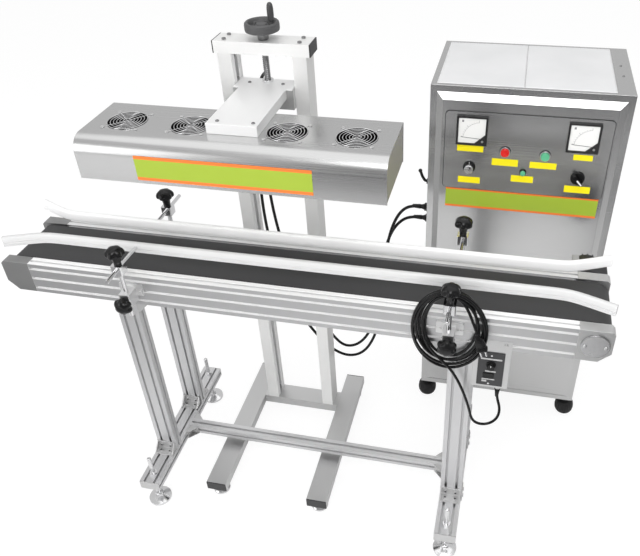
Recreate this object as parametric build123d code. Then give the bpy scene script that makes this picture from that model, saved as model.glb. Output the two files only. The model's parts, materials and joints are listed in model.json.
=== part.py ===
from build123d import *
import math
import os

# Induction cap sealer: a belt conveyor on an aluminium frame, a floor stand that carries the
# sealing head over the belt, and a free-standing generator cabinet behind them.
# Millimetres. X runs along the belt, Y from front to back, Z up from the floor.
# Everything is drawn about the middle of the belt and moved to its final origin at the end.

FIT = 0.05  # radial clearance of shafts, pins and slides
RUN_GAP = 0.1  # axial clearance of turning pieces

# Conveyor
RAIL_LENGTH = 1380
RAIL_HEIGHT = 90
RAIL_DEPTH = 30
INNER_WIDTH = 160
RAIL_BOTTOM = 685
END_BLOCK_LENGTH = 78
END_CHAMFER = 27
END_TOP_CHAMFER = 7
BELT_WIDTH = 150
BELT_THICKNESS = 2
BELT_TOP = 772
ROLLER_RADIUS = 38
ROLLER_SHAFT_RADIUS = 8.5
BEARING_RADIUS = 20
BEARING_WIDTH = 12
BED_THICKNESS = 3
BED_FLANGE = 30
COVER_RADIUS = 32.5
COVER_THICKNESS = 4

# Slotted aluminium sections
SLOT_MOUTH = 6.2
SLOT_LIP = 2.2
SLOT_INNER = 14
SLOT_DEPTH = 8.5
PITCH = 30

# Drive
GEARBOX_SIZE = 90
GEARBOX_LENGTH = 40
MOTOR_RADIUS = 42
MOTOR_LENGTH = 48
GEARBOX_OFFSET = 12

# Conveyor frame
LEG_X = 434
LEG_WIDTH = 60
BAR_HEIGHT = 30
BAR_BOTTOM = 80
BAR_HALF_LENGTH = 240
FOOT_Y = 210
FOOT_PAD_RADIUS = 33
FOOT_STUD_RADIUS = 6
FOOT_STUD_TOP = 182
CAP_THICKNESS = 3

# Guide rails and their brackets
GUIDE_BOTTOM = 804
GUIDE_HEIGHT = 28
GUIDE_DEPTH = 14
GUIDE_STRAIGHT = 665
GUIDE_HALF_LENGTH = 768
FRONT_GUIDE_INNER = 36
REAR_GUIDE_INNER = 58
FRONT_FLARE = 40
REAR_FLARE = 46
BRACKET_X = 403
POST_Y = 138
POST_RADIUS = 6
POST_BOTTOM = 672
ROD_RADIUS = 5
ROD_Z = 820
FRONT_ROD_END = 197
REAR_ROD_END = 212
BLOCK_HALF = 14
CROSS_BOTTOM = 806
CROSS_TOP = 832
CLAMP_BOTTOM = 705
CLAMP_TOP = 745
CLAMP_PLATE = 4
CLAMP_PLATE_WIDTH = 64
CLAMP_KNOB_Z = 720
CLAMP_PLATE_Z = (718, 752)
CLAMP_SCREW_INSET = 9
CLAMP_SCREW_RISE = 12

# Star knobs
KNOB_RADIUS = 24
KNOB_HEIGHT = 23
KNOB_SHANK_RADIUS = 9
UPPER_SHANK = 25
LOWER_SHANK = 4
KNOB_SCREW_RADIUS = 4
KNOB_LOBES = 6

# Speed controller
BOX_OFFSET = 28
BOX_WIDTH = 88
BOX_Z = (560, 712)
FACE_INSET = 13
FACE_Z = (568, 675)
BOX_DEPTH = 46
SHEET = 1.5
FACE_THICKNESS = 2.3
DIAL_Z = 637
DIAL_RADIUS = 12
DIAL_HEIGHT = 13
GLAND_INSET = 22
GLAND_Y = -95

# Head stand
STAND_X = -105
STAND_Y = 228
COLUMN_WIDTH = 35
COLUMN_DEPTH = 60
COLUMN_WALL = 3
COLUMN_SLOT = 22
COLUMN_OUTER = 111.7
COLUMN_TOP = 1242
TUBE_WIDTH = 60
TUBE_HEIGHT = 30
TUBE_WALL = 2.5
TUBE_BOTTOM = 30
FOOT_TUBE_OFFSET = 156
FOOT_TUBE_FRONT = -174
FOOT_TUBE_BACK = 346
CROSSBAR_LENGTH = 245
SCREW_Y = 226
SCREW_RADIUS = 8
SCREW_PLATE_Z = (920, 932)
SCREW_BOTTOM = 905
HANDWHEEL_RADIUS = 40
HANDWHEEL_Z = (1292, 1314)
HUB_RADIUS = 13
CRANK_OFFSET = 24
CRANK_PIN_RADIUS = 3
GRIP_CLEARANCE = 8
GRIP_LENGTH = 58
GRIP_CAP = 3

# Carriage, arm and sealing head
CARRIAGE_BOTTOM = 1115
CARRIAGE_Y = (183, 242)
ARM_TOP = 1168
ARM_SHEET = 3
ARM_FRONT = -30
ARM_WIDTH = 120
ARM_REAR_WIDTH = 150
ARM_BACK = 242
HEAD_X = -102.5
HEAD_LENGTH = 716
HEAD_DEPTH = 200
HEAD_HEIGHT = 100
HEAD_BOTTOM = 1043
HEAD_EDGE_RADIUS = 20
HEAD_SHEET = 2
END_RECESS = 10
BOARD_THICKNESS = 6
COIL_HEIGHT = 12
WINDING_WIDTH = 130
WINDING_BAND = 30
WINDING_END_GAP = 30
FAN_END = 86
FAN_PITCH = 158
FAN_OUTER = HEAD_LENGTH / 2 - FAN_END
FAN_INNER = FAN_OUTER - FAN_PITCH
FAN_OFFSETS = (-FAN_OUTER, -FAN_INNER, FAN_INNER, FAN_OUTER)
FAN_Y = 5
FAN_SIZE = 92
FAN_DEPTH = 25
FAN_BORE = 43
FAN_SCREW_PITCH = 82.5
FAN_HUB_RADIUS = 18
FAN_BLADES = 7
GUARD_WIRE = 2
GUARD_RINGS = (43, 34.5, 26, 17.5, 9)

# Generator cabinet
CABINET_X = (282, 782)
CABINET_Y = (349, 684)
CABINET_Z = (77, 1135)
CABINET_SHEET = 2
PANEL_MARGIN = 17
PANEL_BEVEL = 17
PANEL_RAISE = 12
PLATE_X = (44, 461)
PLATE_Z = (852, 1073)
PLATE_THICKNESS = 3
PLATE_CORNER = 10
METER_SIZE = 80
METER_DEPTH = 6
METER_X = (73, 352)
METER_TOP = 1063.5
METER_BORDER = 5
METER_CORNER = (48, 30)
METER_SCREW_INSET = 12
METER_PIVOT = (64, 18)
NEEDLE_LENGTH = 52
BUTTON_RADIUS = 11
BUTTON_BEZEL_RADIUS = 14
RED_BUTTON = (202, 970)
GREEN_BUTTON = (304, 967)
LAMP = (253, 914)
LAMP_RADIUS = 9
LEVEL_KNOB = (112, 918)
LEVEL_KNOB_RADIUS = 16.5
SELECTOR = (393, 910)
SELECTOR_RADIUS = 18.5
SELECTOR_LEAN = 48
SHAFT_RADIUS = 3
CABINET_FOOT_RADIUS = 30
CABINET_FOOT_INSET = 18
CABINET_FOOT_SETBACK = 32
CABINET_FOOT_COLLAR = 12
CABINET_FOOT_BASE = 18
CABINET_FOOT_BALL = 50

# Cords
POWER_CORD_DIAMETER = 7
HEAD_CABLE_DIAMETER = 9
COIL_OUTER = (88, 122)
COIL_INNER = (55, 91)
COIL_SAG = 11.3
COIL_THICKNESS = 14
COIL_TOP_GAP = 0.3
COIL_BACK = -114.5
PLUG_TOP = (467.5, 750)
PLUG_LEAN = 17.7
PLUG_NECK = 15
PLUG_BODY = (27, 18, 37)
PLUG_PIN = 19
CABINET_GLANDS = ((262, 372, 758), (262, 396, 706))
CABLE_HOOK = (359, 850)
HOOK_REACH = 22
HOOK_RISE = 31
HOOK_RADIUS = 4
CARRIAGE_GLANDS_X = (-18, 18)
CARRIAGE_GLAND_Z = 1145
CARRIAGE_GLAND_LENGTH = 8

# Routes, chosen point by point: out of the gland, down under their own weight and up again.
POWER_ROUTE = [
    (376, -132, 659),
    (394, -132, 644),
    (413, -132, 622),
    (428, -132, 596),
    (441, -132, 567),
    (453, -132, 534),
    (464, -132, 498),
    (473, -131, 456),
    (493, -127, 439),
    (519, -120, 439),
    (537, -112, 456),
    (540, -103, 482),
    (528, -95, 514),
    (528, -95, 542),
]
LEFT_CABLE_ROUTE = [
    (-123, 250, 1145),
    (-123, 284, 1145),
    (-129, 314, 1147),
    (-143, 336, 1136),
    (-160, 344, 1108),
    (-176, 340, 1064),
    (-188, 328, 984),
    (-197, 316, 870),
    (-197, 308, 755),
    (-190, 307, 640),
    (-175, 307, 530),
    (-150, 309, 430),
    (-114, 313, 342),
    (-72, 317, 262),
    (-23, 320, 200),
    (34, 321, 173),
    (88, 323, 196),
    (126, 323, 268),
    (146, 326, 360),
    (154, 332, 460),
    (159, 344, 555),
    (168, 357, 640),
    (184, 367, 699),
    (206, 372, 739),
    (234, 372, 758),
    (262, 372, 758),
]
RIGHT_CABLE_ROUTE = [
    (-87, 250, 1145),
    (-87, 286, 1145),
    (-93, 319, 1149),
    (-110, 345, 1146),
    (-136, 360, 1124),
    (-158, 361, 1082),
    (-175, 352, 1008),
    (-184, 342, 905),
    (-182, 336, 800),
    (-173, 333, 695),
    (-156, 331, 590),
    (-129, 329, 490),
    (-91, 326, 400),
    (-51, 323, 323),
    (-13, 321, 257),
    (24, 320, 219),
    (68, 321, 230),
    (105, 327, 275),
    (129, 336, 350),
    (142, 348, 445),
    (148, 362, 535),
    (158, 378, 608),
    (177, 390, 659),
    (203, 396, 691),
    (233, 396, 706),
    (262, 396, 706),
]

RAIL_TOP = RAIL_BOTTOM + RAIL_HEIGHT
RAIL_INNER = INNER_WIDTH / 2
RAIL_OUTER = RAIL_INNER + RAIL_DEPTH
RAIL_Y = RAIL_INNER + RAIL_DEPTH / 2
ROLLER_X = (RAIL_LENGTH + END_BLOCK_LENGTH) / 2
ROLLER_Z = BELT_TOP - BELT_THICKNESS - ROLLER_RADIUS
BAR_TOP = BAR_BOTTOM + BAR_HEIGHT
CLAMP_FRONT = POST_Y + BLOCK_HALF
TUBE_TOP = TUBE_BOTTOM + TUBE_HEIGHT
CROSSBAR_TOP = COLUMN_TOP + TUBE_HEIGHT
COLUMN_INNER = COLUMN_OUTER - COLUMN_WIDTH
GRIP_BOTTOM = HANDWHEEL_Z[0] + GRIP_CLEARANCE
GRIP_TOP = GRIP_BOTTOM + GRIP_LENGTH
HEAD_TOP = HEAD_BOTTOM + HEAD_HEIGHT
ARM_UNDERSIDE = ARM_TOP - ARM_SHEET
PANEL_FRONT = CABINET_Y[0] - PANEL_RAISE
PLATE_FRONT = PANEL_FRONT - PLATE_THICKNESS
BOX_X = (LEG_X + BOX_OFFSET, LEG_X + BOX_OFFSET + BOX_WIDTH)
FACE_X = (BOX_X[0] + FACE_INSET, BOX_X[1] - FACE_INSET)
DIAL_X = (FACE_X[0] + FACE_X[1]) / 2
GLAND_X = BOX_X[1] - GLAND_INSET
BOX_FRONT = -RAIL_OUTER - SHEET
FACE_FRONT = BOX_FRONT - FACE_THICKNESS


def box(x, y, z):
    """A box between the two values given for each axis."""
    low = (min(x), min(y), min(z))
    size = (abs(x[1] - x[0]), abs(y[1] - y[0]), abs(z[1] - z[0]))
    return Pos(*low) * Box(*size, align=(Align.MIN, Align.MIN, Align.MIN))


def along_x(radius, x, y, z):
    """A round bar along X between x[0] and x[1]."""
    bar = Cylinder(radius, abs(x[1] - x[0]), align=(Align.CENTER, Align.CENTER, Align.MIN))
    return Pos(min(x), y, z) * Rot(0, 90, 0) * bar


def along_y(radius, x, y, z):
    """A round bar along Y between y[0] and y[1]."""
    bar = Cylinder(radius, abs(y[1] - y[0]), align=(Align.CENTER, Align.CENTER, Align.MIN))
    return Pos(x, max(y), z) * Rot(90, 0, 0) * bar


def along_z(radius, x, y, z):
    """A round bar along Z between z[0] and z[1]."""
    bar = Cylinder(radius, abs(z[1] - z[0]), align=(Align.CENTER, Align.CENTER, Align.MIN))
    return Pos(x, y, min(z)) * bar


def mirrored(shape, plane):
    """The same shape seen in one of the planes through the middle of the belt."""
    return mirror(shape, about=plane)


def slotted_profile(width, height):
    """Section of a slotted bar, with T-slots one pitch apart on all four sides."""
    half_mouth = SLOT_MOUTH / 2
    slot = Polyline(
        (-half_mouth, 1),
        (-half_mouth, -SLOT_LIP),
        (-SLOT_INNER / 2, -SLOT_LIP),
        (-SLOT_INNER / 2, -SLOT_LIP - 1.8),
        (-half_mouth, -SLOT_DEPTH),
        (half_mouth, -SLOT_DEPTH),
        (SLOT_INNER / 2, -SLOT_LIP - 1.8),
        (SLOT_INNER / 2, -SLOT_LIP),
        (half_mouth, -SLOT_LIP),
        (half_mouth, 1),
        close=True,
    )
    cut = make_face(slot)
    section = Rectangle(width, height)
    for side, length, reach in ((0, width, height), (90, height, width)):
        count = round(length / PITCH)
        for index in range(count):
            place = (index - (count - 1) / 2) * PITCH
            for turn in (side, side + 180):
                section -= Rot(0, 0, turn) * Pos(place, reach / 2, 0) * cut
    return section


def slotted_bar(width, height, length):
    """A slotted bar along Z that starts at the origin."""
    return extrude(slotted_profile(width, height), length)


def square_tube(width, height, length, wall):
    """A hollow bar along Z that starts at the origin."""
    return extrude(Rectangle(width, height) - Rectangle(width - 2 * wall, height - 2 * wall), length)


def lay_along_x(shape):
    """Turn a Z bar to lie along X, keeping its width along Y."""
    return Rot(0, 90, 0) * Rot(0, 0, 90) * shape


def lay_along_y(shape):
    """Turn a Z bar to lie along Y, keeping its width along X."""
    return Rot(-90, 0, 0) * shape


def hexagon(across_flats, x, y, z):
    """A hexagon nut or head about a Z axis."""
    outline = RegularPolygon(across_flats / 2, 6, major_radius=False)
    return Pos(x, y, min(z)) * extrude(outline, abs(z[1] - z[0]))


def side_rails():
    rail = lay_along_x(slotted_bar(RAIL_DEPTH, RAIL_HEIGHT, RAIL_LENGTH))
    rail = Pos(-RAIL_LENGTH / 2, -RAIL_Y, RAIL_BOTTOM + RAIL_HEIGHT / 2) * rail
    return [rail, mirrored(rail, Plane.XZ)]


def end_blocks():
    inner = RAIL_LENGTH / 2
    outer = inner + END_BLOCK_LENGTH
    outline = Polyline(
        (inner, RAIL_BOTTOM),
        (outer - END_CHAMFER, RAIL_BOTTOM),
        (outer, RAIL_BOTTOM + END_CHAMFER),
        (outer, RAIL_TOP - END_TOP_CHAMFER),
        (outer - END_TOP_CHAMFER, RAIL_TOP),
        (inner, RAIL_TOP),
        close=True,
    )
    plate = extrude(Plane.XZ * make_face(outline), RAIL_DEPTH)
    plate = Pos(0, -RAIL_INNER, 0) * plate
    bearing_seat = along_y(BEARING_RADIUS, ROLLER_X, (-RAIL_INNER, -RAIL_INNER - BEARING_WIDTH), ROLLER_Z)
    shaft_hole = along_y(ROLLER_SHAFT_RADIUS + 1.5, ROLLER_X, (-RAIL_INNER, -RAIL_OUTER), ROLLER_Z)
    block = plate - bearing_seat - shaft_hole
    left = mirrored(block, Plane.YZ)
    cover_y = (-RAIL_OUTER, -RAIL_OUTER - COVER_THICKNESS)
    cover = along_y(COVER_RADIUS, ROLLER_X, cover_y, ROLLER_Z)
    front_edge = cover.edges().filter_by(GeomType.CIRCLE).sort_by(Axis.Y)[0]
    cover = chamfer(front_edge, 1)
    return [block, left, mirrored(block, Plane.XZ), mirrored(left, Plane.XZ), cover]


def loop(radius, width):
    """The solid inside a belt of the given radius round both rollers."""
    outline = Pos(0, ROLLER_Z, 0) * SlotCenterToCenter(2 * ROLLER_X, 2 * radius)
    return Pos(0, width / 2, 0) * extrude(Plane.XZ * outline, width)


def conveyor_belt():
    return [loop(ROLLER_RADIUS + BELT_THICKNESS, BELT_WIDTH) - loop(ROLLER_RADIUS, BELT_WIDTH)]


def slider_bed():
    top = BELT_TOP - BELT_THICKNESS
    reach = RAIL_LENGTH / 2 - 5
    low = top - BED_FLANGE
    outline = Polyline(
        (-RAIL_INNER, low),
        (-RAIL_INNER, top),
        (RAIL_INNER, top),
        (RAIL_INNER, low),
        (RAIL_INNER - BED_THICKNESS, low),
        (RAIL_INNER - BED_THICKNESS, top - BED_THICKNESS),
        (-RAIL_INNER + BED_THICKNESS, top - BED_THICKNESS),
        (-RAIL_INNER + BED_THICKNESS, low),
        close=True,
    )
    pan = Pos(-reach, 0, 0) * extrude(Plane.YZ * make_face(outline), 2 * reach)
    ties = []
    for x in (-LEG_X, 0, LEG_X):
        ties.append(along_y(6, x, (-RAIL_INNER, RAIL_INNER), RAIL_BOTTOM + RAIL_HEIGHT / 3))
    return [pan] + ties


def roller_bearings():
    ring = Circle(BEARING_RADIUS) - Circle(ROLLER_SHAFT_RADIUS + FIT)
    bearing = Pos(ROLLER_X, -RAIL_INNER, ROLLER_Z) * extrude(Plane.XZ * ring, BEARING_WIDTH)
    left = mirrored(bearing, Plane.YZ)
    return [bearing, left, mirrored(bearing, Plane.XZ), mirrored(left, Plane.XZ)]


def roller(x, rear_reach):
    """A crowned-edge roller with its shaft, turning inside the belt's end."""
    half = BELT_WIDTH / 2
    barrel = along_y(ROLLER_RADIUS - FIT, x, (-half, half), ROLLER_Z)
    barrel = chamfer(barrel.edges().filter_by(GeomType.CIRCLE), 1)
    front_reach = -RAIL_INNER - BEARING_WIDTH - 6
    shaft = along_y(ROLLER_SHAFT_RADIUS, x, (front_reach, rear_reach), ROLLER_Z)
    return [barrel + shaft]


def drive_roller():
    return roller(ROLLER_X, RAIL_OUTER + GEARBOX_LENGTH / 2)


def idler_roller():
    return roller(-ROLLER_X, RAIL_INNER + BEARING_WIDTH + 6)


def drive_motor():
    x = ROLLER_X - GEARBOX_OFFSET
    half = GEARBOX_SIZE / 2
    reach = (RAIL_OUTER, RAIL_OUTER + GEARBOX_LENGTH)
    gearbox = box((x - half, x + half), reach, (ROLLER_Z - half, ROLLER_Z + half))
    gearbox = fillet(gearbox.edges().filter_by(Axis.Y), 6)
    socket = (RAIL_OUTER, RAIL_OUTER + GEARBOX_LENGTH / 2 + 1)
    gearbox -= along_y(ROLLER_SHAFT_RADIUS + FIT, ROLLER_X, socket, ROLLER_Z)
    back = RAIL_OUTER + GEARBOX_LENGTH
    motor = along_y(MOTOR_RADIUS, x, (back, back + MOTOR_LENGTH), ROLLER_Z)
    far_edge = motor.edges().filter_by(GeomType.CIRCLE).sort_by(Axis.Y)[-1]
    return [gearbox, fillet(far_edge, 6)]


def leg_uprights():
    upright = Pos(0, 0, BAR_TOP) * slotted_bar(LEG_WIDTH, RAIL_DEPTH, RAIL_BOTTOM - BAR_TOP)
    return [Pos(x, y, 0) * upright for x in (-LEG_X, LEG_X) for y in (-RAIL_Y, RAIL_Y)]


def frame_bars():
    base = lay_along_y(slotted_bar(LEG_WIDTH, BAR_HEIGHT, 2 * BAR_HALF_LENGTH))
    base = Pos(0, -BAR_HALF_LENGTH, BAR_BOTTOM + BAR_HEIGHT / 2) * base
    for y in (-FOOT_Y, FOOT_Y):
        base -= along_z(FOOT_STUD_RADIUS + 0.25, 0, y, (BAR_BOTTOM, BAR_TOP))
    reach = LEG_X - LEG_WIDTH / 2
    brace = lay_along_x(slotted_bar(BAR_HEIGHT, BAR_HEIGHT, 2 * reach))
    brace = Pos(-reach, 0, BAR_BOTTOM + BAR_HEIGHT / 2) * brace
    return [Pos(-LEG_X, 0, 0) * base, Pos(LEG_X, 0, 0) * base, brace]


def angle_bracket(width, leg, thickness):
    """A cast corner bracket: two legs from the origin along +Y and +Z, with a web at each side."""
    outline = Polyline((0, 0), (leg, 0), (leg, thickness), (thickness, leg), (0, leg), close=True)
    web = extrude(Plane.YZ * make_face(outline), thickness - 1)
    legs = box((0, width), (0, leg), (0, thickness)) + box((0, width), (0, thickness), (0, leg))
    bracket = legs + web + Pos(width - thickness + 1, 0, 0) * web
    return Pos(-width / 2, 0, 0) * bracket


def bracket_with_screws(width, leg, thickness, columns):
    """A corner bracket with its button-head screws, one row of them in each leg."""
    bracket = angle_bracket(width, leg, thickness)
    for x in columns:
        middle = leg * 0.56
        bracket += along_z(5, x, middle, (thickness, thickness + 3))
        bracket += along_y(5, x, (thickness, thickness + 3), middle)
    return bracket


def frame_brackets():
    pieces = []
    foot = bracket_with_screws(56, 30, 4, (-14, 14))
    for x in (-LEG_X, LEG_X):
        pieces.append(Pos(x, -RAIL_OUTER, BAR_TOP) * Rot(0, 0, 180) * foot)
        pieces.append(Pos(x, RAIL_OUTER, BAR_TOP) * foot)
    corner = bracket_with_screws(28, 28, 3.5, (0,))
    lying = Pos(0, 0, BAR_BOTTOM + BAR_HEIGHT / 2) * Rot(0, -90, 0) * corner
    inner = LEG_X - LEG_WIDTH / 2
    side = Pos(inner, BAR_HEIGHT / 2, 0) * lying
    pieces += [side, mirrored(side, Plane.XZ), mirrored(side, Plane.YZ)]
    pieces.append(mirrored(mirrored(side, Plane.XZ), Plane.YZ))
    outer = LEG_X + LEG_WIDTH / 2
    for y in (-RAIL_Y, RAIL_Y):
        strap = box((outer, outer + 3), (y - 13, y + 13), (BAR_BOTTOM + 4, BAR_TOP + 26))
        for z in (BAR_BOTTOM + BAR_HEIGHT / 2, BAR_TOP + 13):
            strap += along_x(5, (outer + 3, outer + 6), y, z)
        pieces += [strap, mirrored(strap, Plane.YZ)]
    under = Rot(0, 0, -90) * Rot(180, 0, 0) * corner
    for y in (-RAIL_Y, RAIL_Y):
        hanger = Pos(inner, y, RAIL_BOTTOM) * under
        pieces += [hanger, mirrored(hanger, Plane.YZ)]
    return pieces


def levelling_foot():
    """Round pad, hexagon, stud and the two nuts that hold the bar, as one turned piece."""
    pad = make_face(
        Polyline(
            (0, 0),
            (FOOT_PAD_RADIUS, 0),
            (FOOT_PAD_RADIUS, 7),
            (FOOT_PAD_RADIUS - 9, 11),
            (12, 15),
            (12, 22),
            (0, 22),
            close=True,
        )
    )
    foot = revolve(Plane.XZ * pad, Axis.Z)
    foot += hexagon(19, 0, 0, (22, 30))
    stud = along_z(FOOT_STUD_RADIUS, 0, 0, (30, FOOT_STUD_TOP))
    tip = stud.edges().filter_by(GeomType.CIRCLE).sort_by(Axis.Z)[-1]
    foot += fillet(tip, 3)
    foot += hexagon(19, 0, 0, (BAR_BOTTOM - 8, BAR_BOTTOM))
    foot += hexagon(19, 0, 0, (BAR_TOP, BAR_TOP + 8))
    return foot


def stand_glide():
    """Low screw-in glide under the end of a stand foot."""
    disc = along_z(25, 0, 0, (0, 9))
    disc = chamfer(disc.edges().filter_by(GeomType.CIRCLE).sort_by(Axis.Z)[-1], 3)
    return disc + along_z(10, 0, 0, (9, TUBE_BOTTOM))


def levelling_feet():
    foot = levelling_foot()
    pieces = [Pos(x, y, 0) * foot for x in (-LEG_X, LEG_X) for y in (-FOOT_Y, FOOT_Y)]
    glide = stand_glide()
    for side in (-1, 1):
        for y in (FOOT_TUBE_FRONT + 32, FOOT_TUBE_BACK - 32):
            pieces.append(Pos(STAND_X + side * FOOT_TUBE_OFFSET, y, 0) * glide)
    return pieces


def end_caps():
    pieces = []
    half = LEG_WIDTH / 2
    for x in (-LEG_X, LEG_X):
        reach = (-BAR_HALF_LENGTH - CAP_THICKNESS, -BAR_HALF_LENGTH)
        cap = box((x - half, x + half), reach, (BAR_BOTTOM, BAR_TOP))
        cap = fillet(cap.edges().filter_by(Axis.Y), 2)
        pieces += [cap, mirrored(cap, Plane.XZ)]
    half = TUBE_WIDTH / 2
    for side in (-1, 1):
        x = STAND_X + side * FOOT_TUBE_OFFSET
        for y in (FOOT_TUBE_FRONT, FOOT_TUBE_BACK - CAP_THICKNESS):
            reach = (y, y + CAP_THICKNESS)
            pieces.append(box((x - half, x + half), reach, (TUBE_BOTTOM, TUBE_TOP)))
        end = STAND_X + side * CROSSBAR_LENGTH / 2
        depth = (STAND_Y - COLUMN_DEPTH / 2, STAND_Y + COLUMN_DEPTH / 2)
        pieces.append(box((end - side * CAP_THICKNESS, end), depth, (COLUMN_TOP, CROSSBAR_TOP)))
    return pieces


def control_box():
    """Folded sheet that hangs from the rail, the controller behind it and the cord's gland."""
    shell = box(BOX_X, (BOX_FRONT, -RAIL_OUTER), BOX_Z)
    back = BOX_FRONT + BOX_DEPTH
    low = BOX_Z[0]
    left = LEG_X + LEG_WIDTH / 2 + 1
    right = BOX_X[1] - 2
    shell += box((left, right), (BOX_FRONT, back), (low, low + SHEET))
    for x in (left, right - SHEET):
        shell += box((x, x + SHEET), (BOX_FRONT, back), (low, RAIL_BOTTOM - 4))
    unit = box((FACE_X[0] - 4, FACE_X[1] + 4), (-RAIL_OUTER, back - 2), (low + SHEET, FACE_Z[1]))
    shaft = (-RAIL_OUTER, -RAIL_OUTER + 10)
    unit -= along_y(SHAFT_RADIUS + FIT, DIAL_X, shaft, DIAL_Z)
    shell -= along_y(SHAFT_RADIUS + FIT, DIAL_X, (BOX_FRONT, -RAIL_OUTER), DIAL_Z)
    screw_z = RAIL_BOTTOM + RAIL_HEIGHT / 6
    for x in (BOX_X[0] + 14, BOX_X[1] - 14):
        shell += along_y(4.5, x, (BOX_FRONT, BOX_FRONT - 2.5), screw_z)
    gland = hexagon(20, GLAND_X, GLAND_Y, (low - 6, low))
    gland += along_z(8.5, GLAND_X, GLAND_Y, (low - 12, low - 6))
    nose = Pos(GLAND_X, GLAND_Y, low - 18) * Cone(5, 7.5, 6, align=(Align.CENTER, Align.CENTER, Align.MIN))
    return [shell, unit, gland + nose]


def control_face():
    plate = box(FACE_X, (FACE_FRONT, BOX_FRONT), FACE_Z)
    plate = fillet(plate.edges().filter_by(Axis.Y), 2)
    plate -= along_y(SHAFT_RADIUS + FIT, DIAL_X, (FACE_FRONT, BOX_FRONT), DIAL_Z)
    return [plate]


def speed_dial():
    back = FACE_FRONT - RUN_GAP
    skirt = along_y(DIAL_RADIUS, DIAL_X, (back, back - 3), DIAL_Z)
    grip = along_y(DIAL_RADIUS - 3, DIAL_X, (back - 3, back - DIAL_HEIGHT), DIAL_Z)
    grip = chamfer(grip.edges().filter_by(GeomType.CIRCLE).sort_by(Axis.Y)[0], 1)
    pointer = (DIAL_Z, DIAL_Z + DIAL_RADIUS - 1)
    marker = box((DIAL_X - 0.8, DIAL_X + 0.8), (back - 3, back - 4), pointer)
    shaft = along_y(SHAFT_RADIUS, DIAL_X, (back, -RAIL_OUTER + 8), DIAL_Z)
    return [skirt + grip + marker + shaft]


def guide_clamp():
    """Front clamp: a screwed plate on the rail and a split block that holds the post."""
    back = -RAIL_OUTER
    plate_front = back - CLAMP_PLATE
    half = CLAMP_PLATE_WIDTH / 2
    plate = box((-half, half), (plate_front, back), CLAMP_PLATE_Z)
    plate = fillet(plate.edges().filter_by(Axis.Y), 3)
    block = box((-BLOCK_HALF, BLOCK_HALF), (-CLAMP_FRONT, plate_front), (CLAMP_BOTTOM, CLAMP_TOP))
    block = chamfer(block.edges().filter_by(Axis.Z).sort_by(Axis.Y)[:2], 2)
    clamp = plate + block
    screw_z = CLAMP_PLATE_Z[0] + CLAMP_SCREW_RISE
    for x in (-half + CLAMP_SCREW_INSET, half - CLAMP_SCREW_INSET):
        clamp += along_y(5, x, (plate_front, plate_front - 3), screw_z)
    clamp -= along_z(POST_RADIUS + FIT, 0, -POST_Y, (CLAMP_BOTTOM, CLAMP_TOP))
    screw_end = -POST_Y - POST_RADIUS + 1
    clamp -= along_y(KNOB_SCREW_RADIUS + FIT, 0, (-CLAMP_FRONT, screw_end), CLAMP_KNOB_Z)
    return clamp


def guide_clamps():
    front = [Pos(x, 0, 0) * guide_clamp() for x in (-BRACKET_X, BRACKET_X)]
    return front + [mirrored(clamp, Plane.XZ) for clamp in front]


def guide_posts():
    """Front posts, each with the cross block that carries one rod of the guide rail."""
    pieces = []
    for x in (-BRACKET_X, BRACKET_X):
        depth = (-CLAMP_FRONT, -POST_Y + BLOCK_HALF)
        block = box((x - BLOCK_HALF, x + BLOCK_HALF), depth, (CROSS_BOTTOM, CROSS_TOP))
        block = chamfer(block.edges().filter_by(Axis.Z), 2)
        post = along_z(POST_RADIUS, x, -POST_Y, (POST_BOTTOM, CROSS_BOTTOM + 6))
        piece = block + post
        piece -= along_y(ROD_RADIUS + FIT, x, depth, ROD_Z)
        piece -= along_z(KNOB_SCREW_RADIUS + FIT, x, -POST_Y, (ROD_Z, CROSS_TOP))
        pieces.append(piece)
    return pieces


def guide(inner, flare, rod_end):
    """Front guide rail with flared ends, and the two rods that carry it."""
    outer = inner + GUIDE_DEPTH

    def plan(near, far, grow):
        points = [
            (-GUIDE_HALF_LENGTH - grow, -near - flare),
            (-GUIDE_STRAIGHT, -near),
            (GUIDE_STRAIGHT, -near),
            (GUIDE_HALF_LENGTH + grow, -near - flare),
            (GUIDE_HALF_LENGTH + grow, -far - flare),
            (GUIDE_STRAIGHT, -far),
            (-GUIDE_STRAIGHT, -far),
            (-GUIDE_HALF_LENGTH - grow, -far - flare),
        ]
        return make_face(Polyline(*points, close=True))

    rail = Pos(0, 0, GUIDE_BOTTOM) * extrude(plan(inner, outer, 0), GUIDE_HEIGHT)
    groove_low = ROD_Z - ROD_RADIUS - 0.5
    groove = extrude(plan(outer - 3, outer + 1, 0), 2 * ROD_RADIUS + 1)
    rail -= Pos(0, 0, groove_low) * groove
    pieces = [rail]
    for x in (-BRACKET_X, BRACKET_X):
        pieces.append(along_y(ROD_RADIUS, x, (-outer + 3, -rod_end), ROD_Z))
    return pieces


def star_knob(shank, screw):
    """Six-lobed clamping knob along +Z, its shank seated at the origin and its screw below."""
    head = Circle(KNOB_RADIUS)
    for index in range(KNOB_LOBES):
        angle = math.radians(index * 360 / KNOB_LOBES)
        reach = KNOB_RADIUS + 3
        head -= Pos(reach * math.cos(angle), reach * math.sin(angle), 0) * Circle(8)
    knob = Pos(0, 0, shank) * extrude(head, KNOB_HEIGHT)
    knob = chamfer(knob.faces().sort_by(Axis.Z)[-1].edges(), 2)
    knob += along_z(KNOB_SHANK_RADIUS, 0, 0, (0, shank))
    return knob + along_z(KNOB_SCREW_RADIUS, 0, 0, (-screw, 0))


def upper_knob():
    screw = CROSS_TOP - ROD_Z - ROD_RADIUS
    return Pos(0, 0, CROSS_TOP + RUN_GAP) * star_knob(UPPER_SHANK, screw)


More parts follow.
